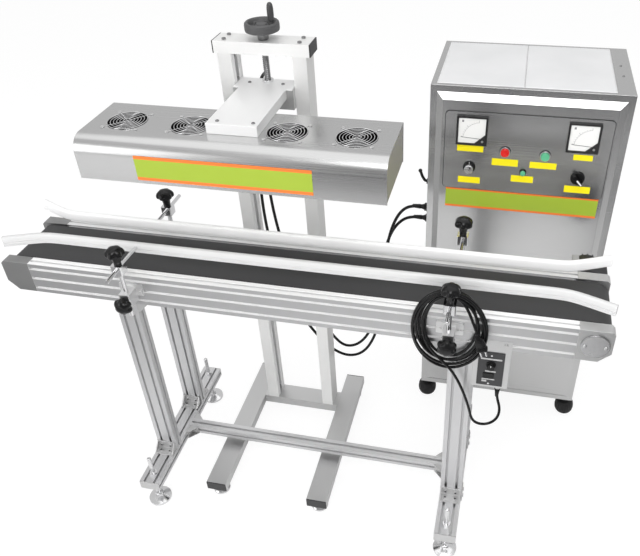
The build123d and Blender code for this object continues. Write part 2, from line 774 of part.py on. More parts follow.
def lower_knob():
    screw = CLAMP_FRONT - POST_Y - POST_RADIUS
    return Pos(0, -CLAMP_FRONT - RUN_GAP, CLAMP_KNOB_Z) * Rot(90, 0, 0) * star_knob(LOWER_SHANK, screw)


def column(side):
    """C-section column, open to the carriage through the slot in its inner face."""
    section = Rectangle(COLUMN_WIDTH, COLUMN_DEPTH)
    section -= Rectangle(COLUMN_WIDTH - 2 * COLUMN_WALL, COLUMN_DEPTH - 2 * COLUMN_WALL)
    section -= Pos(-side * COLUMN_WIDTH / 2, 0, 0) * Rectangle(2 * COLUMN_WALL + 2, COLUMN_SLOT)
    centre = STAND_X + side * (COLUMN_OUTER - COLUMN_WIDTH / 2)
    return Pos(centre, STAND_Y, TUBE_TOP) * extrude(section, COLUMN_TOP - TUBE_TOP)


def stand_frame():
    length = FOOT_TUBE_BACK - FOOT_TUBE_FRONT - 2 * CAP_THICKNESS
    tube = lay_along_y(square_tube(TUBE_WIDTH, TUBE_HEIGHT, length, TUBE_WALL))
    middle = TUBE_BOTTOM + TUBE_HEIGHT / 2
    pieces = []
    for side in (-1, 1):
        x = STAND_X + side * FOOT_TUBE_OFFSET
        pieces.append(Pos(x, FOOT_TUBE_FRONT + CAP_THICKNESS, middle) * tube)
        pieces.append(column(side))
    reach = FOOT_TUBE_OFFSET - TUBE_WIDTH / 2
    lower = lay_along_x(square_tube(COLUMN_DEPTH, TUBE_HEIGHT, 2 * reach, TUBE_WALL))
    pieces.append(Pos(STAND_X - reach, STAND_Y, middle) * lower)
    plate_y = (STAND_Y - COLUMN_DEPTH / 2 + 6, STAND_Y + COLUMN_DEPTH / 2 - 6)
    plate = box((STAND_X - COLUMN_INNER, STAND_X + COLUMN_INNER), plate_y, SCREW_PLATE_Z)
    pieces.append(plate - along_z(SCREW_RADIUS + FIT, STAND_X, SCREW_Y, SCREW_PLATE_Z))
    return pieces


def top_crossbar():
    length = CROSSBAR_LENGTH - 2 * CAP_THICKNESS
    bar = lay_along_x(square_tube(COLUMN_DEPTH, TUBE_HEIGHT, length, TUBE_WALL))
    bar = Pos(STAND_X - length / 2, STAND_Y, COLUMN_TOP + TUBE_HEIGHT / 2) * bar
    bar -= along_z(SCREW_RADIUS + FIT, STAND_X, SCREW_Y, (COLUMN_TOP, CROSSBAR_TOP))
    pieces = [bar]
    for side in (-1, 1):
        x = STAND_X + side * (COLUMN_OUTER - COLUMN_WIDTH / 2)
        for y in (STAND_Y - 17, STAND_Y + 17):
            pieces.append(along_z(5, x, y, (CROSSBAR_TOP, CROSSBAR_TOP + 4)))
    return pieces


def lift_screw():
    screw = along_z(SCREW_RADIUS, STAND_X, SCREW_Y, (SCREW_BOTTOM, HANDWHEEL_Z[0] + 6))
    ends = screw.edges().filter_by(GeomType.CIRCLE)
    return [chamfer(ends, 1)]


def handwheel():
    low, high = HANDWHEEL_Z
    web = low + 6
    outline = Polyline(
        (SCREW_RADIUS, CROSSBAR_TOP + RUN_GAP),
        (HUB_RADIUS, CROSSBAR_TOP + RUN_GAP),
        (HUB_RADIUS, low + 2),
        (HANDWHEEL_RADIUS - 8, low + 2),
        (HANDWHEEL_RADIUS - 7, low),
        (HANDWHEEL_RADIUS - 2, low),
        (HANDWHEEL_RADIUS, low + 3),
        (HANDWHEEL_RADIUS, high - 3),
        (HANDWHEEL_RADIUS - 2, high),
        (HANDWHEEL_RADIUS - 5, high),
        (HANDWHEEL_RADIUS - 9, web + 2),
        (HUB_RADIUS, web),
        (HUB_RADIUS - 2, web + 6),
        (0, web + 6),
        (0, web),
        (SCREW_RADIUS, web),
        close=True,
    )
    wheel = revolve(Plane.XZ * make_face(outline), Axis.Z)
    wheel += along_z(CRANK_PIN_RADIUS, CRANK_OFFSET, 0, (web, GRIP_TOP - GRIP_CAP))
    return [Pos(STAND_X, SCREW_Y, 0) * wheel]


def crank_grip():
    """Waisted grip that turns on the pin of the handwheel."""
    low = GRIP_BOTTOM + RUN_GAP
    shoulder = GRIP_TOP - GRIP_CAP
    bore = CRANK_PIN_RADIUS + FIT
    right = Polyline((0, GRIP_TOP), (4, GRIP_TOP), (6, shoulder))
    waist = ThreePointArc((6, shoulder), (4.6, (low + GRIP_TOP) / 2), (6.5, low + 4))
    left = Polyline(
        (6.5, low + 4),
        (5.5, low),
        (bore, low),
        (bore, shoulder + RUN_GAP),
        (0, shoulder + RUN_GAP),
        (0, GRIP_TOP),
    )
    grip = revolve(Plane.XZ * make_face(right + waist + left), Axis.Z)
    return [Pos(STAND_X + CRANK_OFFSET, SCREW_Y, 0) * grip]


def carriage():
    """Block between the columns, with a shoe running inside each of them."""
    half = COLUMN_INNER - FIT
    height = (CARRIAGE_BOTTOM, ARM_UNDERSIDE)
    body = box((STAND_X - half, STAND_X + half), CARRIAGE_Y, height)
    neck = COLUMN_SLOT / 2 - FIT
    shoe = COLUMN_DEPTH / 2 - COLUMN_WALL - FIT
    inside = COLUMN_INNER + COLUMN_WALL + FIT
    for side in (-1, 1):
        near = STAND_X + side * (half - 1)
        wall = STAND_X + side * inside
        far = STAND_X + side * (inside + 18)
        body += box((near, wall), (STAND_Y - neck, STAND_Y + neck), height)
        body += box((wall, far), (STAND_Y - shoe, STAND_Y + shoe), height)
    body -= along_z(SCREW_RADIUS + FIT, STAND_X, SCREW_Y, height)
    back = CARRIAGE_Y[1]
    for offset in CARRIAGE_GLANDS_X:
        x = STAND_X + offset
        body += along_y(8, x, (back, back + CARRIAGE_GLAND_LENGTH), CARRIAGE_GLAND_Z)
    return [body]


def head_arm():
    """Folded arm: a channel over the head that widens into the plate on the carriage."""
    half = ARM_WIDTH / 2
    rear = ARM_REAR_WIDTH / 2
    shoulder = CARRIAGE_Y[0] - ARM_SHEET
    outline = Polyline(
        (-half, ARM_FRONT),
        (half, ARM_FRONT),
        (half, shoulder),
        (rear, shoulder),
        (rear, ARM_BACK),
        (-rear, ARM_BACK),
        (-rear, shoulder),
        (-half, shoulder),
        close=True,
    )
    arm = Pos(0, 0, ARM_UNDERSIDE) * extrude(make_face(outline), ARM_SHEET)
    back = CARRIAGE_Y[0]
    walls = box((-half, half), (ARM_FRONT, back), (HEAD_TOP, ARM_UNDERSIDE))
    inner = half - ARM_SHEET
    walls -= box((-inner, inner), (ARM_FRONT + ARM_SHEET, back), (HEAD_TOP, ARM_UNDERSIDE))
    arm += walls
    arm -= along_z(SCREW_RADIUS + 1, 0, SCREW_Y, (ARM_UNDERSIDE, ARM_TOP))
    arm = Pos(STAND_X, 0, 0) * arm
    nut = along_z(14, STAND_X, SCREW_Y, (ARM_TOP, ARM_TOP + 6))
    nut -= along_z(SCREW_RADIUS + FIT, STAND_X, SCREW_Y, (ARM_TOP, ARM_TOP + 6))
    return [arm, nut]


def head_section(grow):
    """Section of the head across the belt, rounded at its upper edges, open below."""
    width = HEAD_DEPTH + 2 * grow
    radius = HEAD_EDGE_RADIUS + grow
    top = HEAD_TOP + grow
    middle = (HEAD_BOTTOM + top) / 2
    section = Pos(0, middle, 0) * Rectangle(width, top - HEAD_BOTTOM)
    corners = section.vertices().group_by(Axis.Y)[-1]
    return Plane.YZ * fillet(corners, radius)


def head_shell():
    half = HEAD_LENGTH / 2
    shell = Pos(-half, 0, 0) * extrude(head_section(0), HEAD_LENGTH)
    hollow = Pos(-half, 0, 0) * extrude(head_section(-HEAD_SHEET), HEAD_LENGTH)
    shell -= hollow
    plate = extrude(head_section(-HEAD_SHEET), HEAD_SHEET)
    for x in (-half + END_RECESS, half - END_RECESS - HEAD_SHEET):
        shell += Pos(x, 0, 0) * plate
    for offset in FAN_OFFSETS:
        shell -= along_z(FAN_BORE, offset, FAN_Y, (HEAD_TOP - HEAD_SHEET, HEAD_TOP))
    return [Pos(HEAD_X, 0, 0) * shell]


def sealing_coil():
    """Insulating board in the mouth of the head and the flat winding that lies on it."""
    reach = HEAD_LENGTH / 2 - END_RECESS - HEAD_SHEET
    half = HEAD_DEPTH / 2 - HEAD_SHEET
    top = HEAD_BOTTOM + BOARD_THICKNESS
    board = box((HEAD_X - reach, HEAD_X + reach), (-half, half), (HEAD_BOTTOM, top))
    length = 2 * (reach - WINDING_END_GAP)
    inner_length = length - 2 * WINDING_BAND
    inner_width = WINDING_WIDTH - 2 * WINDING_BAND
    winding = SlotOverall(length, WINDING_WIDTH) - SlotOverall(inner_length, inner_width)
    return [board, Pos(HEAD_X, 0, top) * extrude(winding, COIL_HEIGHT)]


def fan_frame():
    """Square fan housing with four struts and the pin that its rotor turns on."""
    low = HEAD_TOP - HEAD_SHEET - FAN_DEPTH
    high = HEAD_TOP - HEAD_SHEET
    half = FAN_SIZE / 2
    frame = box((-half, half), (-half, half), (low, high))
    frame = fillet(frame.edges().filter_by(Axis.Z), 5)
    frame -= along_z(FAN_BORE, 0, 0, (low, high))
    frame += along_z(FAN_HUB_RADIUS, 0, 0, (low, low + 2.5))
    for turn in (45, 135):
        strut = Rot(0, 0, turn) * box((-FAN_BORE - 1, FAN_BORE + 1), (-2, 2), (low, low + 2.5))
        frame += strut
    return frame + along_z(SHAFT_RADIUS, 0, 0, (low + 2.5, high - 6))


def fan_places():
    return [Pos(HEAD_X + offset, FAN_Y, 0) for offset in FAN_OFFSETS]


def fan_frames():
    frame = fan_frame()
    return [place * frame for place in fan_places()]


def fan_guard():
    """Wire finger guard: rings on two crossed wires that end in screw eyes."""
    low = HEAD_TOP
    high = HEAD_TOP + GUARD_WIRE
    guard = None
    for radius in GUARD_RINGS:
        ring = extrude(Circle(radius) - Circle(radius - GUARD_WIRE), GUARD_WIRE)
        ring = Pos(0, 0, low) * ring
        guard = ring if guard is None else guard + ring
    reach = FAN_SCREW_PITCH / math.sqrt(2)
    for turn in (45, 135):
        wire = box((-reach, reach), (-GUARD_WIRE / 2, GUARD_WIRE / 2), (low, high))
        guard += Rot(0, 0, turn) * wire
    for turn in (45, 135, 225, 315):
        guard += Rot(0, 0, turn) * along_z(4, reach, 0, (low, high))
    return guard


def fan_guards():
    guard = fan_guard()
    return [place * guard for place in fan_places()]


def fan_rotor():
    """Seven pitched blades about a cup that turns on the housing's pin."""
    low = HEAD_TOP - HEAD_SHEET - FAN_DEPTH + 2.5 + RUN_GAP
    high = HEAD_TOP - HEAD_SHEET - 2
    rotor = along_z(FAN_HUB_RADIUS, 0, 0, (low, high))
    rotor -= along_z(SHAFT_RADIUS + FIT, 0, 0, (low, high - 3))
    middle = (low + high) / 2
    outer = FAN_BORE - 1
    for index in range(FAN_BLADES):
        span = outer - FAN_HUB_RADIUS + 2
        blade = Pos(FAN_HUB_RADIUS - 2 + span / 2, 0, middle) * Rot(38, 0, 0) * Box(span, 22, 1.5)
        rotor += Rot(0, 0, index * 360 / FAN_BLADES) * blade
    return rotor & along_z(outer, 0, 0, (low, high))


def cabinet_body():
    sheet = CABINET_SHEET
    inside_x = (CABINET_X[0] + sheet, CABINET_X[1] - sheet)
    inside_y = (CABINET_Y[0] + sheet, CABINET_Y[1] - sheet)
    inside_z = (CABINET_Z[0] + sheet, CABINET_Z[1] - sheet)
    body = box(CABINET_X, CABINET_Y, CABINET_Z) - box(inside_x, inside_y, inside_z)
    margin = PANEL_MARGIN + 8
    door_x = (CABINET_X[0] + margin, CABINET_X[1] - margin)
    door_z = (CABINET_Z[0] + margin, CABINET_Z[1] - margin)
    return [body - box(door_x, (CABINET_Y[0], CABINET_Y[0] + sheet), door_z)]


def panel_block(inset, raised):
    """The solid under a bevelled panel, its sheet's thickness taken off by the inset."""
    width = CABINET_X[1] - CABINET_X[0] - 2 * PANEL_MARGIN - 2 * inset
    height = CABINET_Z[1] - CABINET_Z[0] - 2 * PANEL_MARGIN - 2 * inset
    middle = ((CABINET_X[0] + CABINET_X[1]) / 2, CABINET_Y[0], (CABINET_Z[0] + CABINET_Z[1]) / 2)
    base = Plane(middle, x_dir=(1, 0, 0), z_dir=(0, -1, 0))
    face = base.offset(raised)
    outlines = [
        base * Rectangle(width, height),
        face * Rectangle(width - 2 * PANEL_BEVEL, height - 2 * PANEL_BEVEL),
    ]
    return loft(outlines)


def control_hole(place, radius, y):
    return along_y(radius, CABINET_X[0] + place[0], y, place[1])


def cabinet_panel():
    sheet = CABINET_SHEET
    panel = panel_block(0, PANEL_RAISE) - panel_block(sheet, PANEL_RAISE - sheet)
    depth = (PANEL_FRONT, PANEL_FRONT + sheet)
    for place in (RED_BUTTON, GREEN_BUTTON):
        panel -= control_hole(place, BUTTON_RADIUS + 1, depth)
    for place in (LEVEL_KNOB, SELECTOR):
        panel -= control_hole(place, SHAFT_RADIUS + 1, depth)
    return [panel]


def instrument_plate():
    x = (CABINET_X[0] + PLATE_X[0], CABINET_X[0] + PLATE_X[1])
    depth = (PLATE_FRONT, PANEL_FRONT)
    plate = box(x, depth, PLATE_Z)
    plate = fillet(plate.edges().filter_by(Axis.Y), PLATE_CORNER)
    pieces = []
    for place in (RED_BUTTON, GREEN_BUTTON):
        hole = control_hole(place, BUTTON_RADIUS + FIT, (PLATE_FRONT - 6, PANEL_FRONT))
        plate -= hole
        bezel = control_hole(place, BUTTON_BEZEL_RADIUS, (PLATE_FRONT - 6, PLATE_FRONT))
        bezel = chamfer(bezel.edges().filter_by(GeomType.CIRCLE).sort_by(Axis.Y)[0], 1)
        pieces.append(bezel - hole)
    for place in (LEVEL_KNOB, SELECTOR):
        plate -= control_hole(place, SHAFT_RADIUS + FIT, depth)
    return [plate] + pieces


def meter_case():
    """Square panel meter from its lower left corner: frame, dial, corner cover and needle."""
    case = box((0, METER_SIZE), (-METER_DEPTH, 0), (0, METER_SIZE))
    case = fillet(case.edges().filter_by(Axis.Y), 2)
    low = METER_BORDER
    high = METER_SIZE - METER_BORDER
    corner_x, corner_z = METER_CORNER
    outline = Polyline((low, low), (corner_x, low), (high, corner_z), (high, high), (low, high), close=True)
    window = Pos(0, -METER_DEPTH, 0) * extrude(Plane.XZ * make_face(outline), -4)
    case -= window
    screw_x = METER_SIZE - METER_SCREW_INSET
    case -= Pos(screw_x, -METER_DEPTH, METER_SCREW_INSET) * Rot(90, 0, 0) * Cylinder(3.5, 1)
    needle = box((-NEEDLE_LENGTH, 6), (-METER_DEPTH + 2.5, -METER_DEPTH + 4.5), (-0.5, 0.5))
    pivot_x, pivot_z = METER_PIVOT
    return case + Pos(pivot_x, 0, pivot_z) * Rot(0, 4, 0) * needle


def meter_cases():
    case = meter_case()
    low = METER_TOP - METER_SIZE
    return [Pos(CABINET_X[0] + x, PLATE_FRONT, low) * case for x in METER_X]


def cabinet_feet():
    ball = CABINET_FOOT_BALL
    outline = make_face(
        Polyline(
            (0, 0),
            (CABINET_FOOT_BASE, 0),
            (CABINET_FOOT_RADIUS - 4, 0.1 * ball),
            (CABINET_FOOT_RADIUS - 1, 0.25 * ball),
            (CABINET_FOOT_RADIUS, 0.45 * ball),
            (CABINET_FOOT_RADIUS - 1, 0.7 * ball),
            (CABINET_FOOT_RADIUS - 4, 0.9 * ball),
            (CABINET_FOOT_RADIUS - 8, ball),
            (CABINET_FOOT_COLLAR, ball),
            (CABINET_FOOT_COLLAR, CABINET_Z[0]),
            (0, CABINET_Z[0]),
            close=True,
        )
    )
    foot = revolve(Plane.XZ * outline, Axis.Z)
    pieces = []
    for x in (CABINET_X[0] + CABINET_FOOT_INSET, CABINET_X[1] - CABINET_FOOT_INSET):
        for y in (CABINET_Y[0] + CABINET_FOOT_SETBACK, CABINET_Y[1] - CABINET_FOOT_SETBACK):
            pieces.append(Pos(x, y, 0) * foot)
    return pieces


def pilot_lamp():
    ring = control_hole(LAMP, LAMP_RADIUS, (PLATE_FRONT - 4, PLATE_FRONT))
    lens = control_hole(LAMP, LAMP_RADIUS - 2, (PLATE_FRONT - 11, PLATE_FRONT - 4))
    tip = lens.edges().filter_by(GeomType.CIRCLE).sort_by(Axis.Y)[0]
    return [ring + fillet(tip, 4)]


def push_button(place):
    cap = control_hole(place, BUTTON_RADIUS, (PLATE_FRONT - 12, PANEL_FRONT + 8))
    edge = cap.edges().filter_by(GeomType.CIRCLE).sort_by(Axis.Y)[0]
    return [fillet(edge, 1.5)]


def red_button():
    return push_button(RED_BUTTON)


def green_button():
    return push_button(GREEN_BUTTON)


def level_knob():
    back = PLATE_FRONT - RUN_GAP
    skirt = control_hole(LEVEL_KNOB, LEVEL_KNOB_RADIUS, (back - 4, back))
    skirt = chamfer(skirt.edges().filter_by(GeomType.CIRCLE).sort_by(Axis.Y)[0], 1)
    grip = control_hole(LEVEL_KNOB, LEVEL_KNOB_RADIUS - 5, (back - 18, back - 4))
    grip = chamfer(grip.edges().filter_by(GeomType.CIRCLE).sort_by(Axis.Y)[0], 1)
    shaft = control_hole(LEVEL_KNOB, SHAFT_RADIUS, (back, PANEL_FRONT + 6))
    x = CABINET_X[0] + LEVEL_KNOB[0]
    z = LEVEL_KNOB[1]
    marker = box((x - 0.8, x + 0.8), (back - 5, back - 4), (z + 11, z + LEVEL_KNOB_RADIUS - 1))
    return [skirt + grip + shaft + marker]


def selector_switch():
    back = PLATE_FRONT - RUN_GAP
    collar = control_hole(SELECTOR, SELECTOR_RADIUS, (back - 6, back))
    collar = chamfer(collar.edges().filter_by(GeomType.CIRCLE).sort_by(Axis.Y)[0], 1.5)
    x = CABINET_X[0] + SELECTOR[0]
    z = SELECTOR[1]
    lever = box((-4.5, 4.5), (back - 20, back - 6), (-SELECTOR_RADIUS + 2, SELECTOR_RADIUS - 2))
    lever = fillet(lever.edges().filter_by(Axis.Y), 3)
    lever = Pos(x, 0, z) * Rot(0, -SELECTOR_LEAN, 0) * lever
    shaft = control_hole(SELECTOR, SHAFT_RADIUS, (back, PANEL_FRONT + 6))
    return [collar + lever + shaft]


def cable_glands():
    """Straight glands on the cabinet's left side, and the hook above them for the loose loop."""
    wall = CABINET_X[0]
    pieces = []
    for x, y, z in CABINET_GLANDS:
        gland = along_x(13, (wall - 3, wall), y, z)
        body = extrude(RegularPolygon(10, 6, major_radius=False), 6)
        gland += Pos(wall - 9, y, z) * lay_along_x(body)
        nose = Cone(5.5, 9, wall - 9 - x, align=(Align.CENTER, Align.CENTER, Align.MIN))
        pieces.append(gland + Pos(x, y, z) * Rot(0, 90, 0) * nose)
    y, z = CABLE_HOOK
    tip = (wall - HOOK_REACH, y, z + HOOK_RISE)
    low_bend = (wall - HOOK_REACH * 0.4, y, z + HOOK_RISE * 0.06)
    high_bend = (wall - HOOK_REACH * 0.73, y, z + HOOK_RISE * 0.45)
    path = FilletPolyline((wall, y, z), low_bend, high_bend, tip, radius=[7, 12])
    start = Plane(origin=path @ 0, z_dir=path % 0)
    hook = sweep(start * Circle(HOOK_RADIUS), path=path)
    hook += Pos(*tip) * Sphere(HOOK_RADIUS + 1.5)
    hook -= box((wall, wall + 20), (y - 20, y + 20), (z - 20, z + 20))
    hook += along_x(2 * HOOK_RADIUS, (wall - 3, wall), y, z)
    return pieces + [hook]


def corner_radii(points):
    """The largest arc that each corner's two runs leave room for."""
    radii = []
    for before, corner, after in zip(points, points[1:], points[2:]):
        arriving = Vector(*corner) - Vector(*before)
        leaving = Vector(*after) - Vector(*corner)
        turn = math.radians(arriving.get_angle(leaving))
        radii.append(0.45 * min(arriving.length, leaving.length) / math.tan(turn / 2))
    return radii


def cord(name, points, diameter):
    """A round cord along straight runs joined by tangent arcs."""
    radii = corner_radii(points)
    path = FilletPolyline(*points, radius=radii)
    start = Plane(origin=path @ 0, z_dir=path % 0)
    tube = sweep(start * Circle(diameter / 2), path=path)
    ideal = math.pi * diameter**2 / 4 * path.length
    tightest = min(radii) / diameter
    print(name, "length", round(path.length), "volume ratio", round(tube.volume / ideal, 4))
    print(name, "tightest radius in diameters", round(tightest, 1))
    print(name, "radii", [round(radius) for radius in radii])
    return [tube]


def power_coil():
    """Outer shape of the wound lead, hung over the front right cross block.

    Its turns lie close at the top and spread at the bottom, so the inside sits higher."""
    inner_width, inner_height = COIL_INNER
    centre = BRACKET_X - 1
    reach = inner_height * math.sqrt(1 - ((BLOCK_HALF + 1) / inner_width) ** 2)
    middle = CROSS_TOP + COIL_TOP_GAP - reach
    ring = Pos(0, -COIL_SAG, 0) * Ellipse(*COIL_OUTER) - Ellipse(*COIL_INNER)
    plane = Plane(origin=(centre, COIL_BACK, middle), x_dir=(1, 0, 0), z_dir=(0, -1, 0))
    return [extrude(plane * ring, COIL_THICKNESS)]


def power_plug():
    """Plug tucked into the coil's right side, its neck up and its pins down."""
    width, depth, length = PLUG_BODY
    bottom = -PLUG_NECK - length
    body = box((-width / 2, width / 2), (-depth, 0), (bottom, -PLUG_NECK))
    body = fillet(body.edges().filter_by(Axis.Z), 4)
    neck = Cone(8, 5, PLUG_NECK, align=(Align.CENTER, Align.CENTER, Align.MIN))
    plug = body + Pos(0, -depth / 2, -PLUG_NECK) * neck
    for side in (-1, 1):
        plug += along_z(2.4, side * 6, -depth / 2, (bottom - PLUG_PIN, bottom))
    x, z = PLUG_TOP
    return [Pos(x, COIL_BACK - COIL_THICKNESS, z) * Rot(0, -PLUG_LEAN, 0) * plug]


def main():
    nodes = {
        "side_rails": side_rails(),
        "end_blocks": end_blocks(),
        "conveyor_belt": conveyor_belt(),
        "slider_bed": slider_bed(),
        "roller_bearings": roller_bearings(),
        "drive_motor": drive_motor(),
        "leg_uprights": leg_uprights(),
        "frame_bars": frame_bars(),
        "frame_brackets": frame_brackets(),
        "levelling_feet": levelling_feet(),
        "end_caps": end_caps(),
        "control_box": control_box(),
        "control_face": control_face(),
        "guide_clamps": guide_clamps(),
        "drive_roller": drive_roller(),
        "idler_roller": idler_roller(),
        "speed_dial": speed_dial(),
        "front_guide": guide(FRONT_GUIDE_INNER, FRONT_FLARE, FRONT_ROD_END),
        "front_posts": guide_posts(),
        "stand_frame": stand_frame(),
        "top_crossbar": top_crossbar(),
        "lift_screw": lift_screw(),
        "handwheel": handwheel(),
        "crank_grip": crank_grip(),
        "carriage": carriage(),
        "head_arm": head_arm(),
        "head_shell": head_shell(),
        "sealing_coil": sealing_coil(),
        "fan_frames": fan_frames(),
        "fan_guards": fan_guards(),
        "cabinet_body": cabinet_body(),
        "cabinet_panel": cabinet_panel(),
        "instrument_plate": instrument_plate(),
        "meter_cases": meter_cases(),
        "cabinet_feet": cabinet_feet(),
        "pilot_lamp": pilot_lamp(),
        "red_button": red_button(),
        "green_button": green_button(),
        "level_knob": level_knob(),
        "selector_switch": selector_switch(),
        "cable_glands": cable_glands(),
    }
    rear_guide = guide(REAR_GUIDE_INNER, REAR_FLARE, REAR_ROD_END)
    nodes["rear_guide"] = [mirrored(piece, Plane.XZ) for piece in rear_guide]
    nodes["rear_posts"] = [mirrored(piece, Plane.XZ) for piece in guide_posts()]
    for side, x in (("left", -BRACKET_X), ("right", BRACKET_X)):
        nodes["upper_knob_front_" + side] = [Pos(x, -POST_Y, 0) * upper_knob()]
        nodes["upper_knob_rear_" + side] = [Pos(x, POST_Y, 0) * upper_knob()]
        front = Pos(x, 0, 0) * lower_knob()
        nodes["lower_knob_front_" + side] = [front]
        nodes["lower_knob_rear_" + side] = [mirrored(front, Plane.XZ)]
    rotor = fan_rotor()
    for index, place in enumerate(fan_places(), start=1):
        nodes["fan_rotor_" + str(index)] = [place * rotor]

    cords = {
        "power_cord": cord("power_cord", POWER_ROUTE, POWER_CORD_DIAMETER),
        "power_coil": power_coil(),
        "power_plug": power_plug(),
        "head_cable_left": cord("head_cable_left", LEFT_CABLE_ROUTE, HEAD_CABLE_DIAMETER),
        "head_cable_right": cord("head_cable_right", RIGHT_CABLE_ROUTE, HEAD_CABLE_DIAMETER),
    }

    # The origin is the middle of the object's footprint, on the floor.
    whole = Compound(children=[Compound(children=pieces) for pieces in nodes.values()]).bounding_box()
    shift = Pos(-(whole.min.X + whole.max.X) / 2, -(whole.min.Y + whole.max.Y) / 2, -whole.min.Z)
    print("shift", shift.position.X, shift.position.Y, shift.position.Z)
    os.makedirs("parts", exist_ok=True)
    for name, pieces in {**nodes, **cords}.items():
        moved = [solid.moved(shift) for piece in pieces for solid in piece.solids()]
        export_step(Compound(children=moved), "parts/" + name + ".step")


main()
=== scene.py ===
# %% [markdown]
# # Dressing an induction cap sealer
# The machine is three free-standing units: a belt conveyor on a slotted aluminium frame, a floor
# stand that carries the sealing head over the belt, and a generator cabinet behind them. Their
# solids come in as a fixed frame. This lesson gives each of them its surface, and works out the
# rounder pieces anew as surfaces on a grid.

import json
import math

import bmesh
import bpy
import numpy as np
from mathutils import Matrix, Vector

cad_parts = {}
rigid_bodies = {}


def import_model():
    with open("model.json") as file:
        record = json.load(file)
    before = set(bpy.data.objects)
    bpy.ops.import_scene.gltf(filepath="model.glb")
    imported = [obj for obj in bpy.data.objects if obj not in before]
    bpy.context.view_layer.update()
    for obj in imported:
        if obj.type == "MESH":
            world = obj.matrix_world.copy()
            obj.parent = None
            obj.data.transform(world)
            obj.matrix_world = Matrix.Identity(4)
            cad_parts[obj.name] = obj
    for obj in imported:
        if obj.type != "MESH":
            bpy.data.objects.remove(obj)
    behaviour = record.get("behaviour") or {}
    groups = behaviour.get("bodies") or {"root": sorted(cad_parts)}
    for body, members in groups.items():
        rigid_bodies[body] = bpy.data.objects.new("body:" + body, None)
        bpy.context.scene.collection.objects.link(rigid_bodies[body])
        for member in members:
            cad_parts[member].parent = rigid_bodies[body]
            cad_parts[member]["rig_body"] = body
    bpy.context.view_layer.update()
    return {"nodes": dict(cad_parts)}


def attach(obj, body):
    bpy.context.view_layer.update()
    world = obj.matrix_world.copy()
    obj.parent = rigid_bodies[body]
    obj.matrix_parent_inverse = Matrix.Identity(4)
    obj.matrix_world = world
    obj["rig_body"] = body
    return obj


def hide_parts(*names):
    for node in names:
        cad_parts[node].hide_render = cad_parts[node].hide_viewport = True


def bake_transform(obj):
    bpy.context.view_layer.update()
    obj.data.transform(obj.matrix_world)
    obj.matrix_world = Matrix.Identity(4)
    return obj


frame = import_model()
nodes = frame["nodes"]
scene = bpy.context.scene

# %% [markdown]
# ## Millimetres from the middle of the belt
# The machine was drawn in millimetres about the middle of the belt. Every number below is in that
# frame, and one function moves whole arrays of points to the part's own frame in metres, so a
# drawing's number never has to be worked out twice.

# %% From drawing to frame
ORIGIN_SHIFT = np.array([-12.5, -220.5, 0.0])


def metres(points):
    """Points in millimetres about the belt's middle, plus the shift, over a thousand."""
    return (np.asarray(points, float) + ORIGIN_SHIFT) / 1000


# %% [markdown]
# ## The camera
# A straight-on camera would lose the photograph's view down on the belt. The real one stood in
# front and a little to the right, above the head, and looked down at about 36 degrees with a
# slight roll. Its place was worked out from points of the machine, so it is written as a place
# and three angles. The picture was cut from a larger one, which the small lens shift gives back.

# %% Set the camera
CAMERA_PLACE = (496.8, -1337.6, 1812.8)
FOCAL_PIXELS, CENTRE_X, CENTRE_Y = 697.0, 366.0, 266.4
PICTURE_WIDTH, PICTURE_HEIGHT, SENSOR = 640, 556, 36
yaw, pitch, roll = np.radians([13.25, 36.34, -1.75])
forward = np.array(
    [-math.sin(yaw) * math.cos(pitch), math.cos(yaw) * math.cos(pitch), -math.sin(pitch)]
)
level = np.array([math.cos(yaw), math.sin(yaw), 0.0])
upward = np.cross(level, forward)
side = math.cos(roll) * level + math.sin(roll) * upward
top = -math.sin(roll) * level + math.cos(roll) * upward

camera = bpy.data.objects.new("camera", bpy.data.cameras.new("camera"))
scene.collection.objects.link(camera)
turn = Matrix.Identity(4)
for row in range(3):
    turn[row][0], turn[row][1], turn[row][2] = side[row], top[row], -forward[row]
camera.matrix_world = Matrix.Translation(metres(CAMERA_PLACE)) @ turn
camera.data.sensor_width = SENSOR
camera.data.lens = FOCAL_PIXELS / PICTURE_WIDTH * SENSOR
camera.data.shift_x = (PICTURE_WIDTH / 2 - CENTRE_X) / PICTURE_WIDTH
camera.data.shift_y = (CENTRE_Y - PICTURE_HEIGHT / 2) / PICTURE_WIDTH
camera.data.clip_end = 30
scene.camera = camera
print("lens", round(camera.data.lens, 2), "shift", camera.data.shift_x, camera.data.shift_y)

# %% [markdown]
# ## Shader maths as sums
# A finish is a formula: grain times strength plus a base value. Wiring that by hand takes a node
# for each sign. Here a socket is wrapped in a small class that knows plus, minus and times, so
# that the formula is written as it is said, and each sign adds its own Math node.


# %% A socket that can be added and multiplied
class Wire:
    """An output socket. An expression on it adds the Math nodes that work it out."""

    def __init__(self, tree, socket):
        self.tree = tree
        self.socket = socket

    def math(self, operation, first, second=None):
        node = self.tree.nodes.new("ShaderNodeMath")
        node.operation = operation
        for place, value in enumerate((first, second)):
            if isinstance(value, Wire):
                self.tree.links.new(value.socket, node.inputs[place])
            elif value is not None:
                node.inputs[place].default_value = value
        return Wire(self.tree, node.outputs[0])

    def __add__(self, other):
        return self.math("ADD", self, other)

    def __radd__(self, other):
        return self.math("ADD", other, self)

    def __sub__(self, other):
        return self.math("SUBTRACT", self, other)

    def __rsub__(self, other):
        return self.math("SUBTRACT", other, self)

    def __mul__(self, other):
        return self.math("MULTIPLY", self, other)

    def clipped(self):
        return self.math("MAXIMUM", self.math("MINIMUM", self, 1.0), 0.0)


# %% [markdown]
# ## One finish, one material
# Each material starts from one shader whose constant values sit on its own sockets. What changes
# over the surface is fed in afterwards. One method adds any node, with its settings first and
# its values or wires second, so a new kind of pattern needs no new helper.


